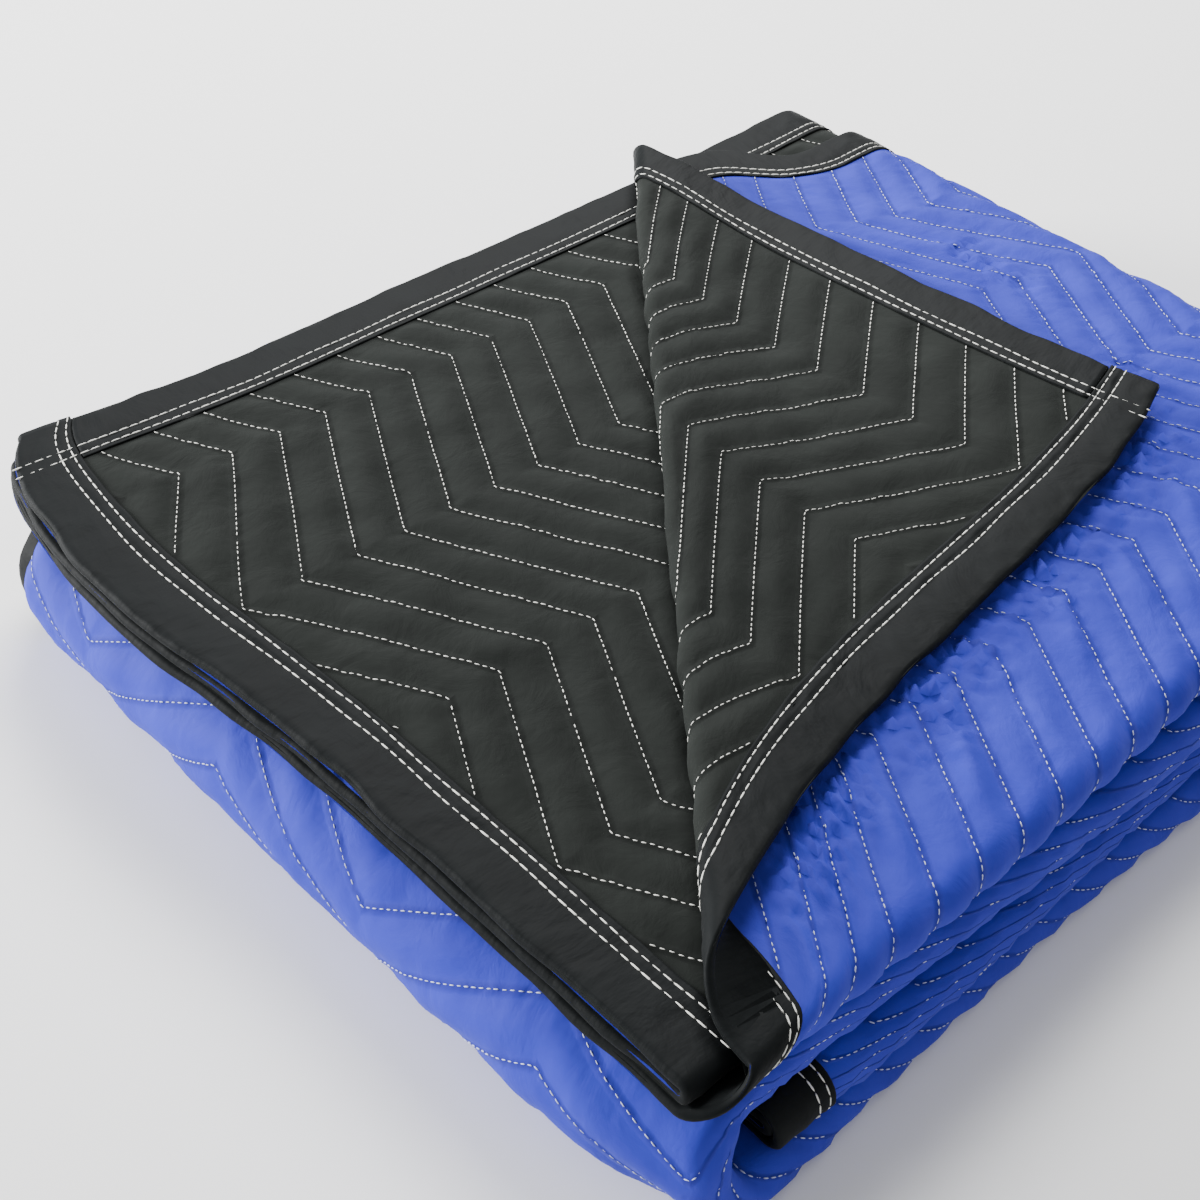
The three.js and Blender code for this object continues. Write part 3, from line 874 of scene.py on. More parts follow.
@dataclass(frozen=True)
class QuiltedCloth:
    """Brushed polyester and cotton cloth, woven and dyed, quilted over padding.

    Its fine weave scatters light evenly, with a soft sheen at grazing angles. The padding lifts
    it into pillows, and the stitches pucker it. Its threads are about 0.3 mm apart; the weave is
    drawn three times as coarse, so that it shows.

    Attributes:
        name: The material's name.
        colour: The dye where it is deep.
        painted_shade_colour: Colour of the painted shade along a stitch line.
        worn_colour: The dye where it is a little paler.
        roughness: Roughness of the shader.
        sheen: Weight of the sheen.
        sheen_tint: Colour of the sheen.
        sheen_roughness: Roughness of the sheen.
        specular: How much the fibres shine.
        thread_spacing_mm: Pitch of the weave as drawn.
        pucker_mm: Size of the puckers along the stitch lines.
        crease_mm: Size of the fine creases of handled cloth.
        mottle_mm: Size of the patches in which the dye is uneven.
        mottle_range: Values of the noise between which the dye goes from deep to pale.
        valley_width: Half width of the painted shade along a stitch line, in rows.
        valley_shade: How much of the painted shade colour a stitch line takes.
    """

    name: str
    colour: str
    painted_shade_colour: str
    worn_colour: str
    roughness: float
    sheen: float
    sheen_tint: str
    sheen_roughness: float = 0.45
    specular: float = 0.12
    thread_spacing_mm: float = 0.9
    pucker_mm: float = 7.0
    crease_mm: float = 21.0
    mottle_mm: float = 34.0
    mottle_range: tuple[float, float] = (0.35, 0.7)
    valley_width: float = 0.13
    valley_shade: float = 0.55

    def material(self) -> bpy.types.Material:
        """Build the cloth's material.

        Returns:
            The material.
        """
        material, tree, shader = new_material(self.name)
        cloth = add_node(tree, "ShaderNodeUVMap", {"uv_map": CLOTH_UV}).outputs["UV"]
        row = add_node(tree, "ShaderNodeAttribute", {"attribute_name": ROW_ATTRIBUTE})
        valley = self._valley(tree, row.outputs["Fac"])
        mottle = add_node(
            tree,
            "ShaderNodeTexNoise",
            inputs={"Vector": cloth, "Scale": 1 / (self.mottle_mm * MM), "Detail": 4.0},
        ).outputs["Fac"]
        self._colour(tree, shader, valley, mottle)
        self._relief(tree, shader, cloth, valley)
        shader.inputs["Roughness"].default_value = self.roughness
        shader.inputs["Sheen Weight"].default_value = self.sheen
        shader.inputs["Sheen Roughness"].default_value = self.sheen_roughness
        shader.inputs["Sheen Tint"].default_value = linear_colour(self.sheen_tint)
        shader.inputs["Specular IOR Level"].default_value = self.specular
        return material

    def _valley(self, tree: bpy.types.NodeTree, row: bpy.types.NodeSocket) -> bpy.types.NodeSocket:
        """Mark the stitch lines.

        Args:
            tree: The material's tree.
            row: The row number, whole on a stitch line.

        Returns:
            1 on a stitch line, 0 a few millimetres away from it.
        """
        away = add_node(
            tree, "ShaderNodeMath", {"operation": "PINGPONG"}, {0: row, 1: 0.5}
        ).outputs[0]
        near = add_node(
            tree,
            "ShaderNodeMapRange",
            {"interpolation_type": "SMOOTHSTEP"},
            {
                "Value": away,
                "From Min": 0.0,
                "From Max": self.valley_width,
                "To Min": 1.0,
                "To Max": 0.0,
            },
        )
        return near.outputs["Result"]

    def _colour(
        self,
        tree: bpy.types.NodeTree,
        shader: bpy.types.Node,
        valley: bpy.types.NodeSocket,
        mottle: bpy.types.NodeSocket,
    ) -> None:
        """Colour the cloth: a little uneven, with painted shade where it is drawn in.

        Args:
            tree: The material's tree.
            shader: Its shader.
            valley: 1 on a stitch line, 0 away from it.
            mottle: The noise that makes the dye uneven.
        """
        low, high = self.mottle_range
        uneven = add_node(
            tree,
            "ShaderNodeMapRange",
            inputs={"Value": mottle, "From Min": low, "From Max": high},
        ).outputs["Result"]
        dyed = add_node(
            tree,
            "ShaderNodeMix",
            {"data_type": "RGBA"},
            {0: uneven, 6: linear_colour(self.colour), 7: linear_colour(self.worn_colour)},
        ).outputs[2]
        # Painted shade: the dye darkens towards the valley colour along each stitch line.
        depth = add_node(
            tree, "ShaderNodeMath", {"operation": "MULTIPLY"}, {0: valley, 1: self.valley_shade}
        ).outputs[0]
        mixed = add_node(
            tree,
            "ShaderNodeMix",
            {"data_type": "RGBA"},
            {0: depth, 6: dyed, 7: linear_colour(self.painted_shade_colour)},
        ).outputs[2]
        tree.links.new(mixed, shader.inputs["Base Color"])

    def _relief(
        self,
        tree: bpy.types.NodeTree,
        shader: bpy.types.Node,
        cloth: bpy.types.NodeSocket,
        valley: bpy.types.NodeSocket,
    ) -> None:
        """Add the weave, puckers along the stitch lines, and the fine creases of handled cloth.

        Args:
            tree: The material's tree.
            shader: Its shader.
            cloth: The cloth coordinates.
            valley: 1 on a stitch line, 0 away from it.
        """
        creases = add_node(
            tree,
            "ShaderNodeTexNoise",
            inputs={
                "Vector": cloth,
                "Scale": 1 / (self.crease_mm * MM),
                "Detail": 5.0,
                "Roughness": 0.6,
                "Distortion": 0.6,
            },
        ).outputs["Fac"]
        puckers = add_node(
            tree,
            "ShaderNodeTexNoise",
            inputs={"Vector": cloth, "Scale": 1 / (self.pucker_mm * MM), "Detail": 2.0},
        ).outputs["Fac"]
        gathered = add_node(
            tree, "ShaderNodeMath", {"operation": "MULTIPLY"}, {0: puckers, 1: valley}
        ).outputs[0]
        drawn_in = add_node(
            tree, "ShaderNodeMath", {"operation": "SUBTRACT"}, {0: gathered, 1: valley}
        ).outputs[0]
        across, along = (
            add_node(
                tree,
                "ShaderNodeTexWave",
                {"wave_type": "BANDS", "bands_direction": direction},
                {"Vector": cloth, "Scale": 1 / (WAVE_BANDS * self.thread_spacing_mm * MM)},
            ).outputs["Fac"]
            for direction in ("X", "Y")
        )
        weave = add_node(
            tree, "ShaderNodeMath", {"operation": "MULTIPLY"}, {0: across, 1: along}
        ).outputs[0]
        emboss(tree, shader, [(creases, 1.6, 0.55), (drawn_in, 1.0, 0.9), (weave, 0.08, 0.4)])


@dataclass(frozen=True)
class BindingTape:
    """Woven polyester binding tape, denser than the quilted cloth, so it is darker and more even,
    and gathered into short creases across its two rows of stitches.

    Attributes:
        name: The material's name.
        colour: Its colour with painted shade, used in the creases.
        lit_colour: Its colour with painted light, used between the creases.
        roughness: Roughness of the shader.
        specular: How much the fibres shine.
        sheen: Weight of the sheen.
        sheen_roughness: Roughness of the sheen.
        gather_mm: Size of the gathers along the tape.
        gather_stretch: How much longer they are across it: 1 for not at all, 0 for without end.
        crease_mm: Size of the broader creases.
        thread_spacing_mm: Pitch of the weave, drawn twice as coarse so that it shows.
    """

    name: str
    colour: str
    lit_colour: str
    roughness: float = 0.62
    specular: float = 0.07
    sheen: float = 0.03
    sheen_roughness: float = 0.4
    gather_mm: float = 5.6
    gather_stretch: float = 0.3
    crease_mm: float = 28.0
    thread_spacing_mm: float = 0.8

    def material(self) -> bpy.types.Material:
        """Build the tape's material.

        Returns:
            The material.
        """
        material, tree, shader = new_material(self.name)
        tape = add_node(tree, "ShaderNodeUVMap", {"uv_map": CLOTH_UV}).outputs["UV"]
        stretched = add_node(
            tree,
            "ShaderNodeMapping",
            inputs={"Vector": tape, "Scale": (1.0, self.gather_stretch, 1.0)},
        ).outputs["Vector"]
        gathers = add_node(
            tree,
            "ShaderNodeTexNoise",
            inputs={"Vector": stretched, "Scale": 1 / (self.gather_mm * MM), "Detail": 3.0},
        ).outputs["Fac"]
        creases = add_node(
            tree,
            "ShaderNodeTexNoise",
            inputs={
                "Vector": tape,
                "Scale": 1 / (self.crease_mm * MM),
                "Detail": 4.0,
                "Distortion": 0.8,
            },
        ).outputs["Fac"]
        weave = add_node(
            tree,
            "ShaderNodeTexWave",
            {"wave_type": "BANDS", "bands_direction": "DIAGONAL"},
            {"Vector": tape, "Scale": 1 / (WAVE_BANDS * self.thread_spacing_mm * MM)},
        ).outputs["Fac"]
        # Painted shade in the broad creases and painted light between them, mixed by the crease
        # noise.
        colour = add_node(
            tree,
            "ShaderNodeMix",
            {"data_type": "RGBA"},
            {0: creases, 6: linear_colour(self.colour), 7: linear_colour(self.lit_colour)},
        ).outputs[2]
        tree.links.new(colour, shader.inputs["Base Color"])
        emboss(tree, shader, [(creases, 1.8, 0.6), (gathers, 0.7, 0.6), (weave, 0.06, 0.4)])
        shader.inputs["Roughness"].default_value = self.roughness
        shader.inputs["Specular IOR Level"].default_value = self.specular
        shader.inputs["Sheen Weight"].default_value = self.sheen
        shader.inputs["Sheen Roughness"].default_value = self.sheen_roughness
        return material


@dataclass(frozen=True)
class SewingThread:
    """Spun polyester sewing thread, white, with a soft fuzz that takes light evenly.

    Attributes:
        name: The material's name.
        colour: The dye.
        roughness: Roughness of the shader.
        sheen: Weight of the fuzz's sheen.
        twist_mm: Length of the shaded patches that the thread's twist makes.
        shade: How dark the darkest of them is.
    """

    name: str
    colour: str
    roughness: float = 0.7
    sheen: float = 0.3
    twist_mm: float = 10 / 9
    shade: float = 0.82

    def material(self) -> bpy.types.Material:
        """Build the thread's material.

        Returns:
            The material.
        """
        material, tree, shader = new_material(self.name)
        place = add_node(tree, "ShaderNodeTexCoord").outputs["Object"]
        twist = add_node(
            tree,
            "ShaderNodeTexNoise",
            inputs={"Vector": place, "Scale": 1 / (self.twist_mm * MM), "Detail": 1.0},
        ).outputs["Fac"]
        shade = add_node(
            tree, "ShaderNodeMapRange", inputs={"Value": twist, "To Min": self.shade, "To Max": 1.0}
        ).outputs["Result"]
        colour = add_node(
            tree,
            "ShaderNodeMix",
            {"data_type": "RGBA", "blend_type": "MULTIPLY"},
            {0: 1.0, 6: linear_colour(self.colour), 7: shade},
        ).outputs[2]
        tree.links.new(colour, shader.inputs["Base Color"])
        shader.inputs["Roughness"].default_value = self.roughness
        shader.inputs["Sheen Weight"].default_value = self.sheen
        return material


# The valley colours of both cloths are painted shade along the stitch lines.
BLUE_CLOTH = QuiltedCloth(
    name="blue_quilted_polycotton",
    colour="2C32A6",
    painted_shade_colour="1A1E70",
    worn_colour="333AB2",
    roughness=0.72,
    sheen=0.1,
    sheen_tint="9FA8FF",
)
BLACK_CLOTH = QuiltedCloth(
    name="black_quilted_polycotton",
    colour="151816",
    painted_shade_colour="0A0C0B",
    worn_colour="1B1E1C",
    roughness=0.85,
    sheen=0.06,
    sheen_tint="C8D0CC",
)
# The tape's colour is painted shade in its creases, and its lit_colour painted light between them.
BINDING_TAPE = BindingTape(name="black_woven_binding_tape", colour="0B0D0E", lit_colour="131617")
WHITE_THREAD = SewingThread(name="white_polyester_thread", colour="EDEDE6")
BOBBIN_THREAD = SewingThread(name="pale_bobbin_thread", colour="C4CCF0")


# ---------------------------------------------------------------------------------------------
# Meshes in cloth coordinates
# ---------------------------------------------------------------------------------------------


def stations(spans: Sequence[Span], extra: Sequence[float] = ()) -> np.ndarray:
    """Stations along one direction of the cloth.

    Args:
        spans: Start, end and greatest pitch of each stretch.
        extra: Further stations that must be there, such as the turns of the zigzag.

    Returns:
        All stations, in order and not too close together.
    """
    must = np.sort(np.asarray(extra, dtype=float))
    lists = [must]
    for start, end, pitch in spans:
        lists.append(np.linspace(start, end, max(1, math.ceil((end - start) / pitch)) + 1))
    every = np.unique(np.round(np.concatenate(lists), 4))
    if must.size:
        near = np.min(np.abs(every[:, None] - must[None, :]), axis=1)
        every = every[(near < SAME_STATION) | (near > CLEAR_OF_EXTRA)]
    return every[np.concatenate([[True], np.diff(every) > CLEAR_OF_NEXT])]


def link_object(name: str, data: bpy.types.ID) -> bpy.types.Object:
    """Make an object and link it to the scene.

    Args:
        name: The object's name.
        data: Its mesh, camera or light.

    Returns:
        The new object.
    """
    made = bpy.data.objects.new(name, data)
    bpy.context.scene.collection.objects.link(made)
    return made


def mesh_from_grid(
    name: str, points: np.ndarray, uv: np.ndarray, flip: bool, tube: bool = False
) -> bpy.types.Object:
    """Make an object from a grid of points.

    Args:
        name: The object's name.
        points: Places in metres, as rows and columns of three coordinates.
        uv: Cloth coordinates of the same points, in metres.
        flip: Turn the faces the other way.
        tube: Join the last column to the first, and close the first and last row with a face.

    Returns:
        The new object, smooth shaded.
    """
    rows, columns = points.shape[:2]
    index = np.arange(rows * columns).reshape(rows, columns)
    right = np.roll(index, -1, axis=1) if tube else index[:, 1:]
    left = index if tube else index[:, :-1]
    quads = np.stack([left[:-1], right[:-1], right[1:], left[1:]], axis=-1).reshape(-1, 4)
    if flip:
        quads = quads[:, ::-1]
    faces = quads.tolist()
    if tube:
        first, last = index[0].tolist(), index[-1].tolist()
        faces += [first if flip else first[::-1], last[::-1] if flip else last]
    mesh = bpy.data.meshes.new(name)
    mesh.from_pydata(points.reshape(-1, 3).tolist(), [], faces)
    layer = mesh.uv_layers.new(name=CLOTH_UV)
    corners = np.empty(len(mesh.loops), dtype=np.int32)
    mesh.loops.foreach_get("vertex_index", corners)
    layer.data.foreach_set("uv", uv.reshape(-1, 2)[corners].astype(np.float32).ravel())
    mesh.shade_smooth()
    mesh.update()
    return link_object(name, mesh)


class Side(Enum):
    """The two sides of the blanket; the value is the way they face out of its middle."""

    FACE = 1
    BACK = -1


@dataclass(frozen=True)
class Crease:
    """A soft crease or swell of the cloth, from one cloth point to another.

    Attributes:
        start: Its first point, as a and b.
        end: Its last point.
        width: How far it reaches to each side.
        rise: How far it lifts the cloth; negative for a dip.
        rough: How crumpled it is: 0 for a smooth swell, 1 for nothing but sharp little folds.
        crumple: Coarse and fine unevenness whose ridges make the little folds, and their depth.
    """

    start: tuple[float, float]
    end: tuple[float, float]
    width: float
    rise: float
    rough: float = 0.0
    crumple: tuple[Unevenness, Unevenness, float] = (
        Unevenness(1.0, 15.0, 21),
        Unevenness(0.4, 6.5, 23),
        3.2,
    )

    def lift(self, a: Cloth, b: Cloth) -> Cloth:
        """Work out how far the crease lifts the cloth. It fades over a third of its length at
        each end.

        Args:
            a: Places across the cloth.
            b: Places along the cloth.

        Returns:
            The lift at each place.
        """
        da, db = self.end[0] - self.start[0], self.end[1] - self.start[1]
        length = math.hypot(da, db)
        along = ((a - self.start[0]) * da + (b - self.start[1]) * db) / length**2
        across = ((a - self.start[0]) * db - (b - self.start[1]) * da) / length
        lift = self.rise * bump(across / self.width) * smooth(3 * along) * smooth(3 * (1 - along))
        coarse, fine, depth = self.crumple
        ridges = depth * np.abs(coarse.height(a, b) + fine.height(a, b))
        return lift * (1 - self.rough + self.rough * (1 - ridges))


# Rumples of the top layer beside the flap, where turning the corner back has pushed the cloth up.
FACE_CREASES = (
    Crease((322.0, 440.0), (350.0, 330.0), 15.0, 3.4, 0.9),
    Crease((340.0, 350.0), (362.0, 240.0), 17.0, 3.8, 0.9),
    Crease((350.0, 262.0), (378.0, 140.0), 18.0, 4.0, 0.9),
    Crease((366.0, 165.0), (400.0, 30.0), 16.0, 3.8, 0.9),
    Crease((330.0, 402.0), (388.0, 372.0), 5.0, 1.9),
    Crease((338.0, 338.0), (408.0, 318.0), 5.0, 2.2),
    Crease((352.0, 296.0), (410.0, 262.0), 5.5, 2.3),
    Crease((352.0, 240.0), (420.0, 222.0), 5.0, 2.2),
    Crease((362.0, 204.0), (424.0, 166.0), 5.5, 2.6),
    Crease((372.0, 146.0), (428.0, 122.0), 5.0, 2.2),
    Crease((382.0, 106.0), (432.0, 70.0), 5.0, 2.6),
    Crease((396.0, 56.0), (440.0, 38.0), 4.5, 2.4),
    Crease((250.0, 462.0), (330.0, 428.0), 10.0, 2.2, 0.4),
    Crease((110.0, 474.0), (220.0, 470.0), 12.0, 2.2, 0.5),
    Crease((392.0, 430.0), (432.0, 350.0), 9.0, 2.0, 0.3),
    Crease((330.0, 476.0), (420.0, 440.0), 12.0, 2.2, 0.5),
)


@dataclass
class QuiltedPanel:
    """One of the blanket's two quilted panels: a sheet of cloth on its side of the folds.

    Attributes:
        name: The object's name.
        node: The CAD node that it stands for.
        slot: The material slot; not used.
        side: Which side of the blanket it makes.
        finish: Its cloth.
        pile: The folds.
        quilting: The stitch lines.
        fine_across: Stretches across the cloth and their pitches.
        fine_along: Stretches along the cloth and their pitches.
        creases: Soft creases of its own.
        crown: Height of the pillows' crown over the middle of the blanket, in mm.
        bound: The same where the binding squeezes it flat.
        free_over: Over how much it rises from there.
        quilt_depth: How deep the stitches draw it in.
        pillow_fill: How much of that a plain pillow fills, and how much its swell adds.
        swell: Slow unevenness of the padding.
        pucker: Unevenness along the stitch lines.
        rumple: Unevenness all over.
        thinnest: The least height over the middle of the blanket.
        cut_edge: How far the cloth's edge lies inside the binding.
    """

    name: str
    node: str
    slot: str
    side: Side
    finish: QuiltedCloth
    pile: FoldedPile
    quilting: Quilting
    fine_across: Sequence[Span]
    fine_along: Sequence[Span]
    creases: Sequence[Crease] = ()
    crown: float = 2.5
    bound: float = 1.0
    free_over: float = 5.0
    quilt_depth: float = 2.1
    pillow_fill: tuple[float, float] = (0.92, 0.5)
    swell: tuple[Unevenness, Unevenness] = (Unevenness(0.16, 46.0, 3), Unevenness(0.12, 19.0, 5))
    pucker: Unevenness = Unevenness(0.5, 8.0, 11)
    rumple: Unevenness = Unevenness(0.35, 27.0, 7)
    thinnest: float = 0.45
    cut_edge: float = 5.0

    def surface(self, a: Cloth, b: Cloth) -> Cloth:
        """Work out how far the cloth's outer surface lies from the middle of the blanket.

        Args:
            a: Places across the cloth.
            b: Places along the cloth.

        Returns:
            The distance, in mm, positive on both sides.
        """
        slab, roll = self.pile.slab, self.pile.roll
        inside = np.minimum(np.minimum(a, slab.length - a), np.minimum(b, roll.length - b))
        free = smooth((inside - BOUND) / self.free_over)
        pillow = self.quilting.pillow(a, b)
        plain, swollen = self.pillow_fill
        soft = self.swell[0].height(a, b) + self.swell[1].height(a, b)
        lift = sum((crease.lift(a, b) for crease in self.creases), np.zeros(pillow.shape))
        quilted = self.crown - self.quilt_depth * (1 - pillow * (plain + swollen * soft)) + lift
        uneven = (1 - pillow) * self.pucker.height(a, b) + self.rumple.height(a, b)
        quilted = np.maximum(quilted + uneven, self.thinnest)
        return self.bound + free * (quilted - self.bound)

    def build(self) -> bpy.types.Object:
        """Make the panel's mesh and dress it.

        Returns:
            The panel's object.
        """
        slab, roll = self.pile.slab, self.pile.roll
        across = stations(
            [(self.cut_edge, BOUND, UNSEEN), *self.fine_across],
            self.quilting.peaks(0.0, slab.length),
        )
        along = stations(self.fine_along)
        a, b = np.meshgrid(across, along, indexing="ij")
        points = self.pile.place(a, b, self.side.value * self.surface(a, b))
        uv = np.stack([a, b], axis=-1) * MM
        made = mesh_from_grid(self.name, points, uv, flip=self.side is Side.BACK)
        rows = made.data.attributes.new(ROW_ATTRIBUTE, "FLOAT", "POINT")
        numbers = self.quilting.row_number(a, b) + ROW_SHIFT
        rows.data.foreach_set("value", numbers.astype(np.float32).ravel())
        made.data.materials.append(self.finish.material())
        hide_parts(self.node)
        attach(made, BODY)
        return made


class Edge(Enum):
    """The four edges of the cloth, named for the layer or end that they bound."""

    TOP_SIDE = "top_side"
    SECOND_SIDE = "second_side"
    OUTER_END = "outer_end"
    INNER_END = "inner_end"


@dataclass
class EdgeBinding:
    """A strip of tape folded round one edge of the cloth and sewn through with two rows.

    Attributes:
        name: The object's name.
        node: The CAD node that it stands for.
        edge: The edge that it binds.
        pile: The folds.
        finish: Its tape.
        spans: Stretches along the strip and their pitches.
        width: How far it reaches in from the edge, in mm.
        tape: Thickness of the tape.
        face_off: Its outer surface on the blue face.
        back_off: Its outer surface on the black back.
        selvedge: Width and depth of the rounding of its two long edges.
        rows_in: Where its two rows of stitches lie, in from the edge.
        row_dip: How deep they draw it in.
        dip_width: How far that reaches to each side of a row.
        marks_in: Further points of the section, in from the edge.
        turn_points: Angle of the first point round the edge, and how many points there are.
        inner_fold: Where the inside of the tape turns, in from the edge.
        gather: How far its edge wanders in and out.
        fullness: How far its sides lift and sink between gathers, up to most_full.
        stray: How far the rows wander.
        thread_rise: How far the thread stands out of the dip.
    """

    name: str
    node: str
    edge: Edge
    pile: FoldedPile
    finish: BindingTape
    spans: Sequence[Span]
    width: float = BINDING_WIDTH
    tape: float = 0.7
    face_off: float = 2.0
    back_off: float = -2.3
    selvedge: tuple[float, float] = (0.5, 0.35)
    rows_in: tuple[float, float] = (21.4, 27.0)
    row_dip: float = 0.45
    dip_width: float = 1.7
    marks_in: tuple[float, ...] = (23.8, 14.0, 8.0, 4.5)
    turn_points: tuple[float, int] = (0.15, 8)
    inner_fold: float = 1.0
    gather: tuple[float, float] = (0.7, 43.0)
    fullness: tuple[float, float] = (0.22, 17.0)
    most_full: float = 0.25
    stray: tuple[float, float] = (0.35, 60.0)
    thread_rise: float = 0.12

    def to_cloth(self, s: Cloth, into: Cloth) -> tuple[Cloth, Cloth]:
        """Find points of the strip on the cloth.

        Args:
            s: Places along the strip.
            into: Distances in from its edge.

        Returns:
            Places across and along the cloth.
        """
        length, end = self.pile.slab.length, self.pile.roll.length
        return {
            Edge.TOP_SIDE: (into, s),
            Edge.SECOND_SIDE: (length - into, s),
            Edge.OUTER_END: (s, into),
            Edge.INNER_END: (s, end - into),
        }[self.edge]

    def section(self) -> np.ndarray:
        """Draw the strip's section: over the face, round the edge, over the back, and the
        inside.

        Returns:
            A closed loop of distances in from the edge and off the blanket's middle.
        """
        edge, depth = self.selvedge
        marks = [self.width, self.width - edge, *self.marks_in]
        for row in self.rows_in:
            marks += [row + DIP_SIDE, row, row - DIP_SIDE]
        marks = sorted({m for m in marks if m <= self.width})[::-1]
        middle = (self.face_off + self.back_off) / 2
        radius = (self.face_off - self.back_off) / 2
        face = [(m, self.face_off - self._dip(m)) for m in marks]
        face[0] = (self.width, self.face_off - depth)
        back = [(m, self.back_off + self._dip(m)) for m in marks[::-1]]
        back[-1] = (self.width, self.back_off + depth)
        first, points = self.turn_points
        turn = [
            (radius * (1 - math.sin(t)), middle + radius * math.cos(t))
            for t in np.linspace(first, math.pi - first, points)
        ]
        inner_face, inner_back = self.face_off - self.tape, self.back_off + self.tape
        fold = self.inner_fold
        inner = [(self.width, inner_back), (fold, inner_back), (fold, inner_face)]
        return np.array(face + turn + back + inner + [(self.width, inner_face)])

    def _dip(self, into: float) -> float:
        """How far the stitches draw the tape in."""
        dips = [bump(np.float64((into - row) / self.dip_width)) for row in self.rows_in]
        return self.row_dip * max(dips)

    def build(self) -> bpy.types.Object:
        """Make the strip's mesh and dress it.

        Returns:
            The strip's object.
        """
        s = stations(self.spans)
        section = self.section()
        along = np.repeat(s[:, None], len(section), axis=1)
        into = np.repeat(section[None, :, 0], len(s), axis=0)
        off = np.repeat(section[None, :, 1], len(s), axis=0)
        seed = 11 + list(Edge).index(self.edge)
        outward = 1 - into / self.width
        size, wavelength = self.gather
        into = into + size * outward * (1 + wander(along, 0 * along, wavelength, seed))
        size, wavelength = self.fullness
        full = np.minimum(size * wander(along, 4 * into, wavelength, seed + 7), self.most_full)
        outer = np.abs(off) > OUTSIDE
        off = off + np.where(outer, np.sign(off) * full, 0.0)
        a, b = self.to_cloth(along, into)
        uv = np.stack([along, into], axis=-1) * MM
        flip = self.edge in (Edge.TOP_SIDE, Edge.INNER_END)
        made = mesh_from_grid(self.name, self.pile.place(a, b, off), uv, flip, tube=True)
        made.data.materials.append(self.finish.material())
        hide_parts(self.node)
        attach(made, BODY)
        return made

    def rows(self, side: Side, s: Cloth) -> list[tuple[Cloth, Cloth, Cloth]]:
        """Lay out the strip's rows of stitches on one side.

        Args:
            side: The side of the blanket.
            s: Places along the strip.

        Returns:
            The cloth coordinates a, b and off of each row.
        """
        level = self.face_off if side is Side.FACE else self.back_off
        off = level - side.value * (self.row_dip - self.thread_rise)
        size, wavelength = self.stray
        found = []
        for row in self.rows_in:
            stray = size * wander(s, 0 * s, wavelength, int(row))
            a, b = self.to_cloth(s, np.full(s.shape, row) + stray)
            found.append((a, b, np.full(s.shape, off)))
        return found


# ---------------------------------------------------------------------------------------------
# Stitches
# ---------------------------------------------------------------------------------------------


@dataclass(frozen=True)
class StitchSize:
    """One lockstitch, in mm: its pitch, the length that shows, and its thickness."""

    pitch: float
    length: float
    thickness: float


QUILTING_STITCH = StitchSize(pitch=3.3, length=2.5, thickness=0.62)
BINDING_STITCH = StitchSize(pitch=5.2, length=5.2, thickness=0.85)


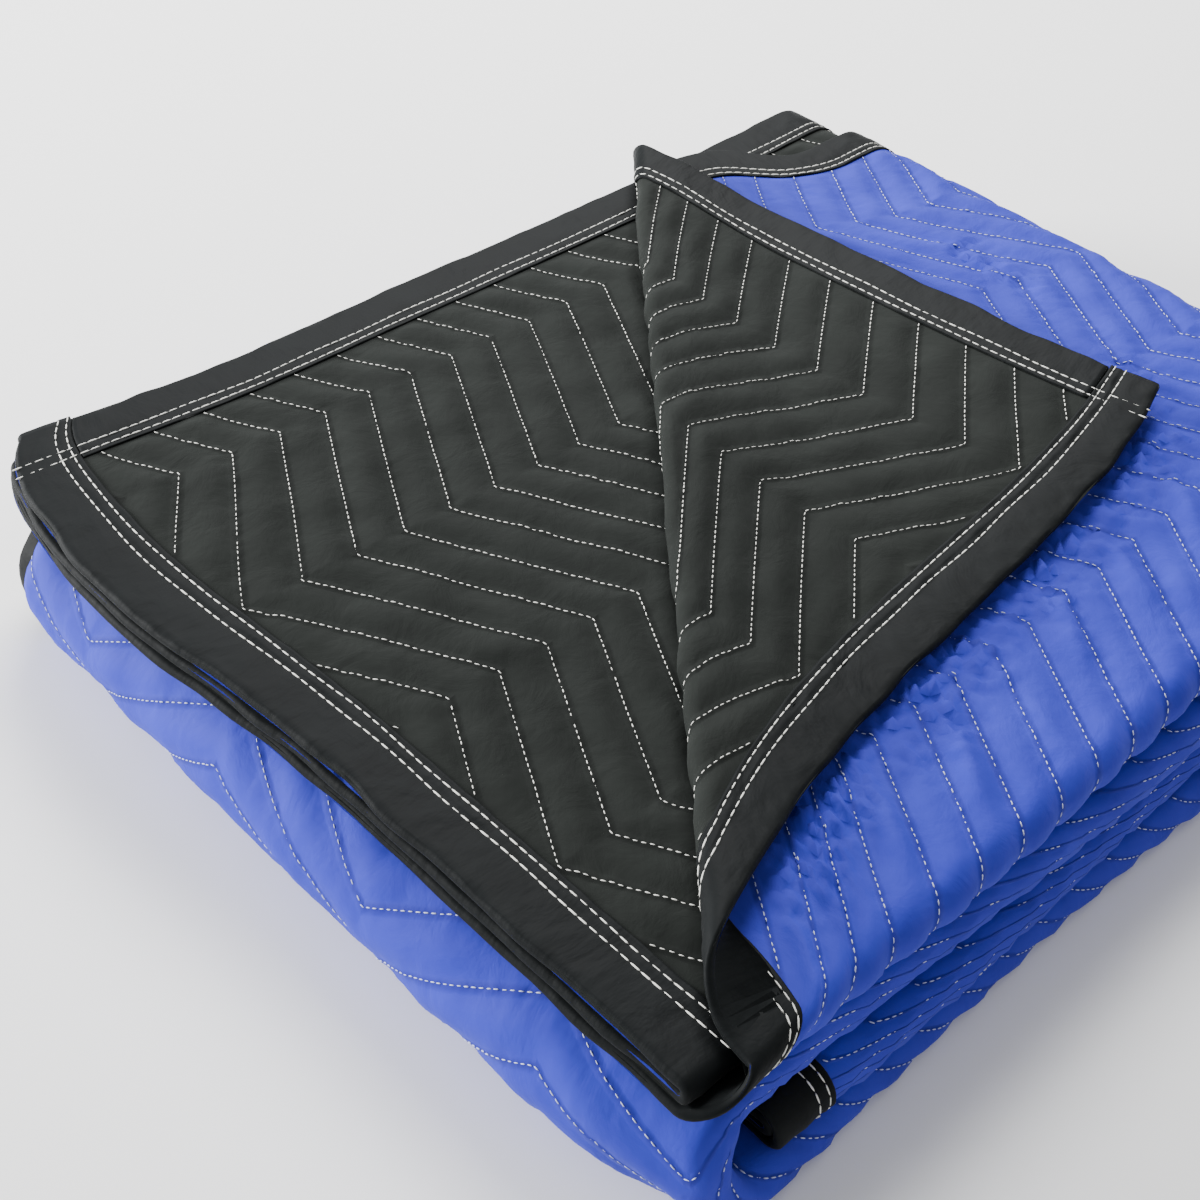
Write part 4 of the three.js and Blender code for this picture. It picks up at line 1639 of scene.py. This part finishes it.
class StitchTree:
    """Geometry Nodes that set a stitch at every pitch along the lines of a mesh.

    Attributes:
        segments: How many sides a stitch has.
        rings: How many steps it has from end to end.
        sizes: Sizes of the least and the greatest stitch, as shares of a plain one.
        seed: Seed of the sizes.
    """

    segments = 5
    rings = 3
    sizes = (0.88, 1.06)
    seed = 8

    def __init__(self) -> None:
        """Build the tree with its named inputs."""
        self.tree = bpy.data.node_groups.new("stitches_along_lines", "GeometryNodeTree")
        face = self.tree.interface
        face.new_socket("Geometry", in_out="INPUT", socket_type="NodeSocketGeometry")
        for name in ("Pitch", "Length", "Thickness"):
            face.new_socket(name, in_out="INPUT", socket_type="NodeSocketFloat")
        face.new_socket("Thread", in_out="INPUT", socket_type="NodeSocketMaterial")
        face.new_socket("Geometry", in_out="OUTPUT", socket_type="NodeSocketGeometry")
        self._wire()

    def _wire(self) -> None:
        """Wire up lines to curves, curves to even points, and a stitch on each point."""
        tree = self.tree
        given = add_node(tree, "NodeGroupInput").outputs
        curve = add_node(tree, "GeometryNodeMeshToCurve", inputs={"Mesh": given["Geometry"]})
        spaced = add_node(
            tree,
            "GeometryNodeResampleCurve",
            {"mode": "LENGTH"},
            {"Curve": curve.outputs["Curve"], "Length": given["Pitch"]},
        )
        bead = add_node(
            tree,
            "GeometryNodeMeshUVSphere",
            inputs={"Segments": self.segments, "Rings": self.rings, "Radius": 0.5},
        )
        polished = add_node(
            tree, "GeometryNodeSetShadeSmooth", inputs={"Geometry": bead.outputs["Mesh"]}
        )
        laid = add_node(
            tree,
            "FunctionNodeAlignRotationToVector",
            {"axis": "Z"},
            {"Vector": add_node(tree, "GeometryNodeInputTangent").outputs["Tangent"]},
        )
        size = add_node(
            tree,
            "ShaderNodeCombineXYZ",
            inputs={"X": given["Thickness"], "Y": given["Thickness"], "Z": given["Length"]},
        )
        least, greatest = self.sizes
        jitter = add_node(
            tree,
            "FunctionNodeRandomValue",
            {"data_type": "FLOAT"},
            {"Min": least, "Max": greatest, "Seed": self.seed},
        )
        scale = add_node(
            tree,
            "ShaderNodeVectorMath",
            {"operation": "SCALE"},
            {0: size.outputs["Vector"], "Scale": jitter.outputs["Value"]},
        )
        stitched = add_node(
            tree,
            "GeometryNodeInstanceOnPoints",
            inputs={
                "Points": spaced.outputs["Curve"],
                "Instance": polished.outputs["Geometry"],
                "Rotation": laid.outputs["Rotation"],
                "Scale": scale.outputs["Vector"],
            },
        )
        real = add_node(
            tree,
            "GeometryNodeRealizeInstances",
            inputs={"Geometry": stitched.outputs["Instances"]},
        )
        dyed = add_node(
            tree,
            "GeometryNodeSetMaterial",
            inputs={"Geometry": real.outputs["Geometry"], "Material": given["Thread"]},
        )
        add_node(tree, "NodeGroupOutput", inputs={"Geometry": dyed.outputs["Geometry"]})

    def socket(self, name: str) -> str:
        """Find the identifier of a named input."""
        items = self.tree.interface.items_tree
        return next(i.identifier for i in items if i.in_out == "INPUT" and i.name == name)


@dataclass
class Stitching:
    """Stitches of one thread: lines in the frame, with a stitch at every pitch.

    Attributes:
        name: The object's name.
        slot: The material slot; not used.
        stitch: Size of a stitch.
        thread: Its thread.
        tree: The nodes that set the stitches.
        lines: Points of each line, in metres.
    """

    name: str
    slot: str
    stitch: StitchSize
    thread: SewingThread
    tree: StitchTree
    lines: list[np.ndarray]

    def build(self) -> bpy.types.Object:
        """Make the lines into stitches and dress them.

        Returns:
            The stitches' object.
        """
        points = np.concatenate(self.lines)
        starts = np.cumsum([0] + [len(line) for line in self.lines[:-1]])
        edges = [
            (int(start) + i, int(start) + i + 1)
            for start, line in zip(starts, self.lines)
            for i in range(len(line) - 1)
        ]
        mesh = bpy.data.meshes.new(self.name)
        mesh.from_pydata(points.tolist(), edges, [])
        made = link_object(self.name, mesh)
        modifier = made.modifiers.new("stitches", "NODES")
        modifier.node_group = self.tree.tree
        for name, value in (
            ("Pitch", self.stitch.pitch * MM),
            ("Length", self.stitch.length * MM),
            ("Thickness", self.stitch.thickness * MM),
            ("Thread", self.thread.material()),
        ):
            modifier[self.tree.socket(name)] = value
        evaluated = made.evaluated_get(bpy.context.evaluated_depsgraph_get())
        finished = bpy.data.meshes.new_from_object(evaluated)
        made.modifiers.remove(modifier)
        made.data = finished
        finished.name = self.name
        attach(made, BODY)
        return made


# ---------------------------------------------------------------------------------------------
# The blanket
# ---------------------------------------------------------------------------------------------


@dataclass
class MovingBlanket:
    """The whole blanket: two quilted panels, four binding strips and their stitches.

    Stitches are only made where they show, and a little beyond.

    Attributes:
        pile: The folds.
        below_fold: How far stitches go on under the wide fold, in mm.
        beside_fold: How far they go on beside any fold.
        on_flap: How far past the crease the flap's quilting starts.
        under_flap: How far the second layer's quilting goes on under the crease.
        left_bare: How far in, and from where along the cloth, the second layer shows at the back.
        end_rows: How far the rows of the front end go on under the wide fold.
        inner_end: How far the inner end's rows go in from the wide fold.
        row_points: Where the rows on the binding start, and the pitch of their points.
    """

    pile: FoldedPile = FoldedPile()
    below_fold: float = 10.0
    beside_fold: float = 12.0
    on_flap: float = 2.0
    under_flap: float = 30.0
    left_bare: tuple[float, float] = (80.0, 300.0)
    end_rows: float = 6.0
    inner_end: float = 40.0
    row_points: tuple[float, float] = (1.5, 3.0)

    def __post_init__(self) -> None:
        """Set out the quilting and the strips."""
        self.quilting = Quilting(self.pile)
        self.tree = StitchTree()
        self.strips = self._strips()
        self.face = self._face()
        self.back = self._back()

    def _face(self) -> QuiltedPanel:
        """Lay out the blue face panel: fine where it shows.

        Returns:
            The panel.
        """
        slab, roll = self.pile.slab, self.pile.roll
        bottom, third = slab.span("bottom layer"), slab.span("third layer")
        beside_fold = 14.0
        return QuiltedPanel(
            name="blue_face_cloth",
            node="face_panel",
            slot="blue_cloth",
            side=Side.FACE,
            finish=BLUE_CLOTH,
            pile=self.pile,
            quilting=self.quilting,
            creases=FACE_CREASES,
            fine_across=[
                *slab.stretches((3.1, 2.5, 28.0, 1.4, 28.0, 2.8, 28.0), BOUND),
                (bottom[0], bottom[0] + beside_fold, 4.0),
                (bottom[1] - beside_fold, bottom[1], 4.0),
                (third[0], third[0] + beside_fold, 4.0),
                (slab.length - BOUND, slab.length - CUT_END, UNSEEN),
            ],
            fine_along=[
                (CUT_END, BOUND, UNSEEN),
                *roll.stretches((3.1, 3.4, 8.0, 2.8, 8.0, 8.0, 8.0), BOUND),
                (roll.length - BOUND, roll.length - CUT_END, UNSEEN),
            ],
        )

    def _back(self) -> QuiltedPanel:
        """Lay out the black back panel: fine on the second layer and the turned-back corner.

        Returns:
            The panel.
        """
        slab, roll = self.pile.slab, self.pile.roll
        return QuiltedPanel(
            name="black_back_cloth",
            node="back_panel",
            slot="black_cloth",
            side=Side.BACK,
            finish=BLACK_CLOTH,
            pile=self.pile,
            quilting=self.quilting,
            quilt_depth=1.7,
            pucker=Unevenness(0.35, 8.0, 11),
            bound=1.3,
            fine_across=[
                *slab.stretches((3.1, 5.0, 28.0, 1.4, 28.0, 2.8, 3.1), BOUND),
                (slab.length - BOUND, slab.length - CUT_END, UNSEEN),
            ],
            fine_along=[
                (CUT_END, BOUND, UNSEEN),
                *roll.stretches((3.1, 5.0, 16.0, 6.0, 30.0, 10.0, 30.0), BOUND),
                (roll.length - BOUND, roll.length - CUT_END, UNSEEN),
            ],
        )

    def _strips(self) -> dict[Edge, EdgeBinding]:
        """Lay out the binding strips. The end strips run the full width; the side strips butt.

        Returns:
            The strip of each edge.
        """
        side = self.pile.roll.stretches((3.0, 3.0, 9.0, 4.0, 9.0, 5.0, 9.0), BOUND)
        end = self.pile.slab.stretches((3.0, 1.6, 7.0, 1.2, 7.0, 1.2, 3.0), 0.0)
        return {
            edge: EdgeBinding(
                f"{edge.value}_tape", f"{edge.value}_binding", edge, self.pile, BINDING_TAPE, spans
            )
            for edge, spans in (
                (Edge.TOP_SIDE, side),
                (Edge.SECOND_SIDE, side),
                (Edge.OUTER_END, end),
                (Edge.INNER_END, end),
            )
        }

    def _shown(self, a: Cloth, b: Cloth, off: Cloth, keep: np.ndarray) -> list[np.ndarray]:
        """Fold a line, and leave out what doesn't show.

        Args:
            a: Places across the cloth.
            b: Places along the cloth.
            off: Distances out of its middle surface.
            keep: True where the line shows.

        Returns:
            Points of each stretch that shows, in metres.
        """
        places = self.pile.place(a, b, off)
        return [places[piece] for piece in split_where(keep)]

    def face_quilting(self) -> list[np.ndarray]:
        """Fold the quilting lines of the blue face, where it shows.

        Returns:
            Points of each stretch that shows, in metres.
        """
        slab, roll, pile = self.pile.slab, self.pile.roll, self.pile
        bulge_end = roll.span("front bulge")[1]
        outside = (SEWN, slab.span("wide fold")[1] + self.below_fold)
        fold_start, fold_end = slab.span("left fold")
        left_fold = (fold_start - self.beside_fold, fold_end + self.beside_fold)
        found = []
        for start, end in (outside, left_fold):
            for a, b in self.quilting.lines(start, end, (SEWN, roll.length - SEWN)):
                keep = pile.past_crease(a, b) < BEFORE_CREASE
                if start == SEWN:
                    keep &= (b < bulge_end) | (a > pile.fold_x - self.beside_fold)
                off = self.face.surface(a, b) + THREAD_LIFT
                found += self._shown(a, b, off, keep)
        return found

    def back_quilting(self) -> list[np.ndarray]:
        """Fold the quilting lines of the black back, where it shows.

        Returns:
            Points of each stretch that shows, in metres.
        """
        slab, roll, pile = self.pile.slab, self.pile.roll, self.pile
        top_end, bottom_end = roll.span("top run")[1], roll.span("bottom run")[1]
        found = []
        for a, b in self.quilting.lines(SEWN, pile.fold_x, (SEWN, top_end)):
            off = -self.back.surface(a, b) - THREAD_LIFT
            found += self._shown(a, b, off, pile.past_crease(a, b) > self.on_flap)
        second = (slab.span("second layer")[0], slab.length - SEWN)
        for a, b in self.quilting.lines(*second, (SEWN, bottom_end)):
            x = slab.length - a
            keep = (pile.past_crease(x, b) > -self.under_flap) & (b < top_end)
            keep |= (x < self.left_bare[0]) & (b > self.left_bare[1])
            off = -self.back.surface(a, b) - THREAD_LIFT
            found += self._shown(a, b, off, keep)
        return found

    def binding_rows(self) -> list[np.ndarray]:
        """Fold both rows of stitches of every strip, on the sides that show.

        Returns:
            Points of each stretch that shows, in metres.
        """
        slab, roll, pile = self.pile.slab, self.pile.roll, self.pile
        outer = roll.span("bottom run")[1]
        wide, second = slab.span("wide fold"), slab.span("second layer")[0]
        start, step = self.row_points
        along = np.arange(start, roll.length - start, step)
        across = np.arange(start, slab.length - start, step)
        shows: list[tuple[Edge, Side, Cloth, Callable[[Cloth, Cloth, Cloth], np.ndarray]]] = [
            (Edge.TOP_SIDE, Side.FACE, along, lambda a, b, p: (p < BEFORE_CREASE) & (b < outer)),
            (Edge.TOP_SIDE, Side.BACK, along, lambda a, b, p: p > 0),
            (Edge.SECOND_SIDE, Side.BACK, along, lambda a, b, p: b < outer),
            (Edge.OUTER_END, Side.BACK, across, lambda a, b, p: (p > 0) | (a > second)),
            (Edge.OUTER_END, Side.FACE, across,
             lambda a, b, p: (p < BEFORE_CREASE) & (a < wide[1] + self.end_rows)),
            (Edge.INNER_END, Side.FACE, across,
             lambda a, b, p: (a > wide[0] - self.inner_end) & (a < wide[1] + self.below_fold)),
        ]
        found = []
        for edge, side, places, keep in shows:
            for a, b, off in self.strips[edge].rows(side, places):
                found += self._shown(a, b, off, keep(a, b, pile.past_crease(a, b)))
        return found

    def build(self) -> None:
        """Make every piece, in order, and report it."""
        stitchings = [
            Stitching(name, slot, stitch, thread, self.tree, lines)
            for name, slot, stitch, thread, lines in (
                ("face_quilting_stitches", "blue_cloth", QUILTING_STITCH, BOBBIN_THREAD,
                 self.face_quilting()),
                ("back_quilting_stitches", "black_cloth", QUILTING_STITCH, WHITE_THREAD,
                 self.back_quilting()),
                ("binding_stitches", "binding_cloth", BINDING_STITCH, WHITE_THREAD,
                 self.binding_rows()),
            )
        ]
        for piece in (self.face, self.back, *self.strips.values(), *stitchings):
            made = piece.build()
            triangles = sum(len(face.vertices) - 2 for face in made.data.polygons)
            log.info("%s: %d triangles", made.name, triangles)


# ---------------------------------------------------------------------------------------------
# Studio
# ---------------------------------------------------------------------------------------------


@dataclass(frozen=True)
class StudioCamera:
    """The camera.

    Attributes:
        place: Where it stands, in mm.
        azimuth: Its heading, in degrees.
        elevation: How far down it looks, in degrees.
        roll: How far it is tilted about its view, in degrees.
        sensor: Width of its square sensor, in mm.
        lens: Its focal length, in mm.
        nearest: How near it sees, in metres.
    """

    place: tuple[float, float, float] = (402.8, -552.1, 578.1)
    azimuth: float = 42.336
    elevation: float = 41.110
    roll: float = 5.834
    sensor: float = 36.0
    lens: float = 54.72
    nearest: float = 0.05

    def build(self) -> bpy.types.Object:
        """Make the camera and look through it.

        Returns:
            The camera's object.
        """
        around, down = math.radians(self.azimuth), math.radians(self.elevation)
        ahead = Vector(
            (-math.sin(around) * math.cos(down), math.cos(around) * math.cos(down), -math.sin(down))
        )
        level = ahead.cross(Vector((0, 0, 1))).normalized()
        upright = level.cross(ahead)
        tilt = math.radians(self.roll)
        right = level * math.cos(tilt) + upright * math.sin(tilt)
        up = upright * math.cos(tilt) - level * math.sin(tilt)
        data = bpy.data.cameras.new("studio_camera")
        data.sensor_width = self.sensor
        data.lens = self.lens
        data.clip_start = self.nearest
        made = link_object("studio_camera", data)
        turn = Matrix((right, up, -ahead)).transposed().to_4x4()
        made.matrix_world = Matrix.Translation(Vector(self.place) * MM) @ turn
        bpy.context.scene.camera = made
        return made


@dataclass(frozen=True)
class SoftLight:
    """A square studio light that points at the blanket. Place and size in metres."""

    name: str
    place: tuple[float, float, float]
    size: float
    power: float
    colour: str = "FFFFFF"

    def build(self) -> bpy.types.Object:
        """Make the light.

        Returns:
            The light's object.
        """
        data = bpy.data.lights.new(self.name, "AREA")
        data.size = self.size
        data.energy = self.power
        data.color = linear_colour(self.colour)[:3]
        made = link_object(self.name, data)
        made.location = self.place
        made.rotation_euler = (-Vector(self.place)).to_track_quat("-Z", "Y").to_euler()
        return made


@dataclass(frozen=True)
class Studio:
    """Pale floor, pale surroundings, soft lights and the camera."""

    floor_size: float = 12.0
    floor_colour: str = "FFFFFF"
    surroundings: str = "FFFFFF"
    surround_strength: float = 0.55
    lights: tuple[SoftLight, ...] = (
        SoftLight("left_light", (-1.7, -1.5, 0.6), 0.8, 138.0),
        SoftLight("top_light", (-1.1, 0.9, 1.7), 1.0, 84.0),
    )

    def build(self) -> None:
        """Make the floor, the surroundings, the lights and the camera."""
        StudioCamera().build()
        for light in self.lights:
            light.build()
        self._floor()
        world = bpy.data.worlds.new("pale_surroundings")
        world.use_nodes = True
        background = world.node_tree.nodes["Background"]
        background.inputs["Color"].default_value = linear_colour(self.surroundings)
        background.inputs["Strength"].default_value = self.surround_strength
        bpy.context.scene.world = world

    def _floor(self) -> None:
        """A plain matt floor under the blanket."""
        half = self.floor_size / 2
        mesh = bpy.data.meshes.new("floor")
        corners = [(-half, -half, 0), (half, -half, 0), (half, half, 0), (-half, half, 0)]
        mesh.from_pydata(corners, [], [(0, 1, 2, 3)])
        material, _, shader = new_material("matt_white_floor")
        shader.inputs["Base Color"].default_value = linear_colour(self.floor_colour)
        shader.inputs["Roughness"].default_value = 0.9
        mesh.materials.append(material)
        link_object("floor", mesh)


def main() -> None:
    """Build the blanket and its studio."""
    logging.basicConfig(level=logging.INFO, format="%(name)s: %(message)s")
    Studio().build()
    MovingBlanket().build()


if __name__ == "__main__":
    main()
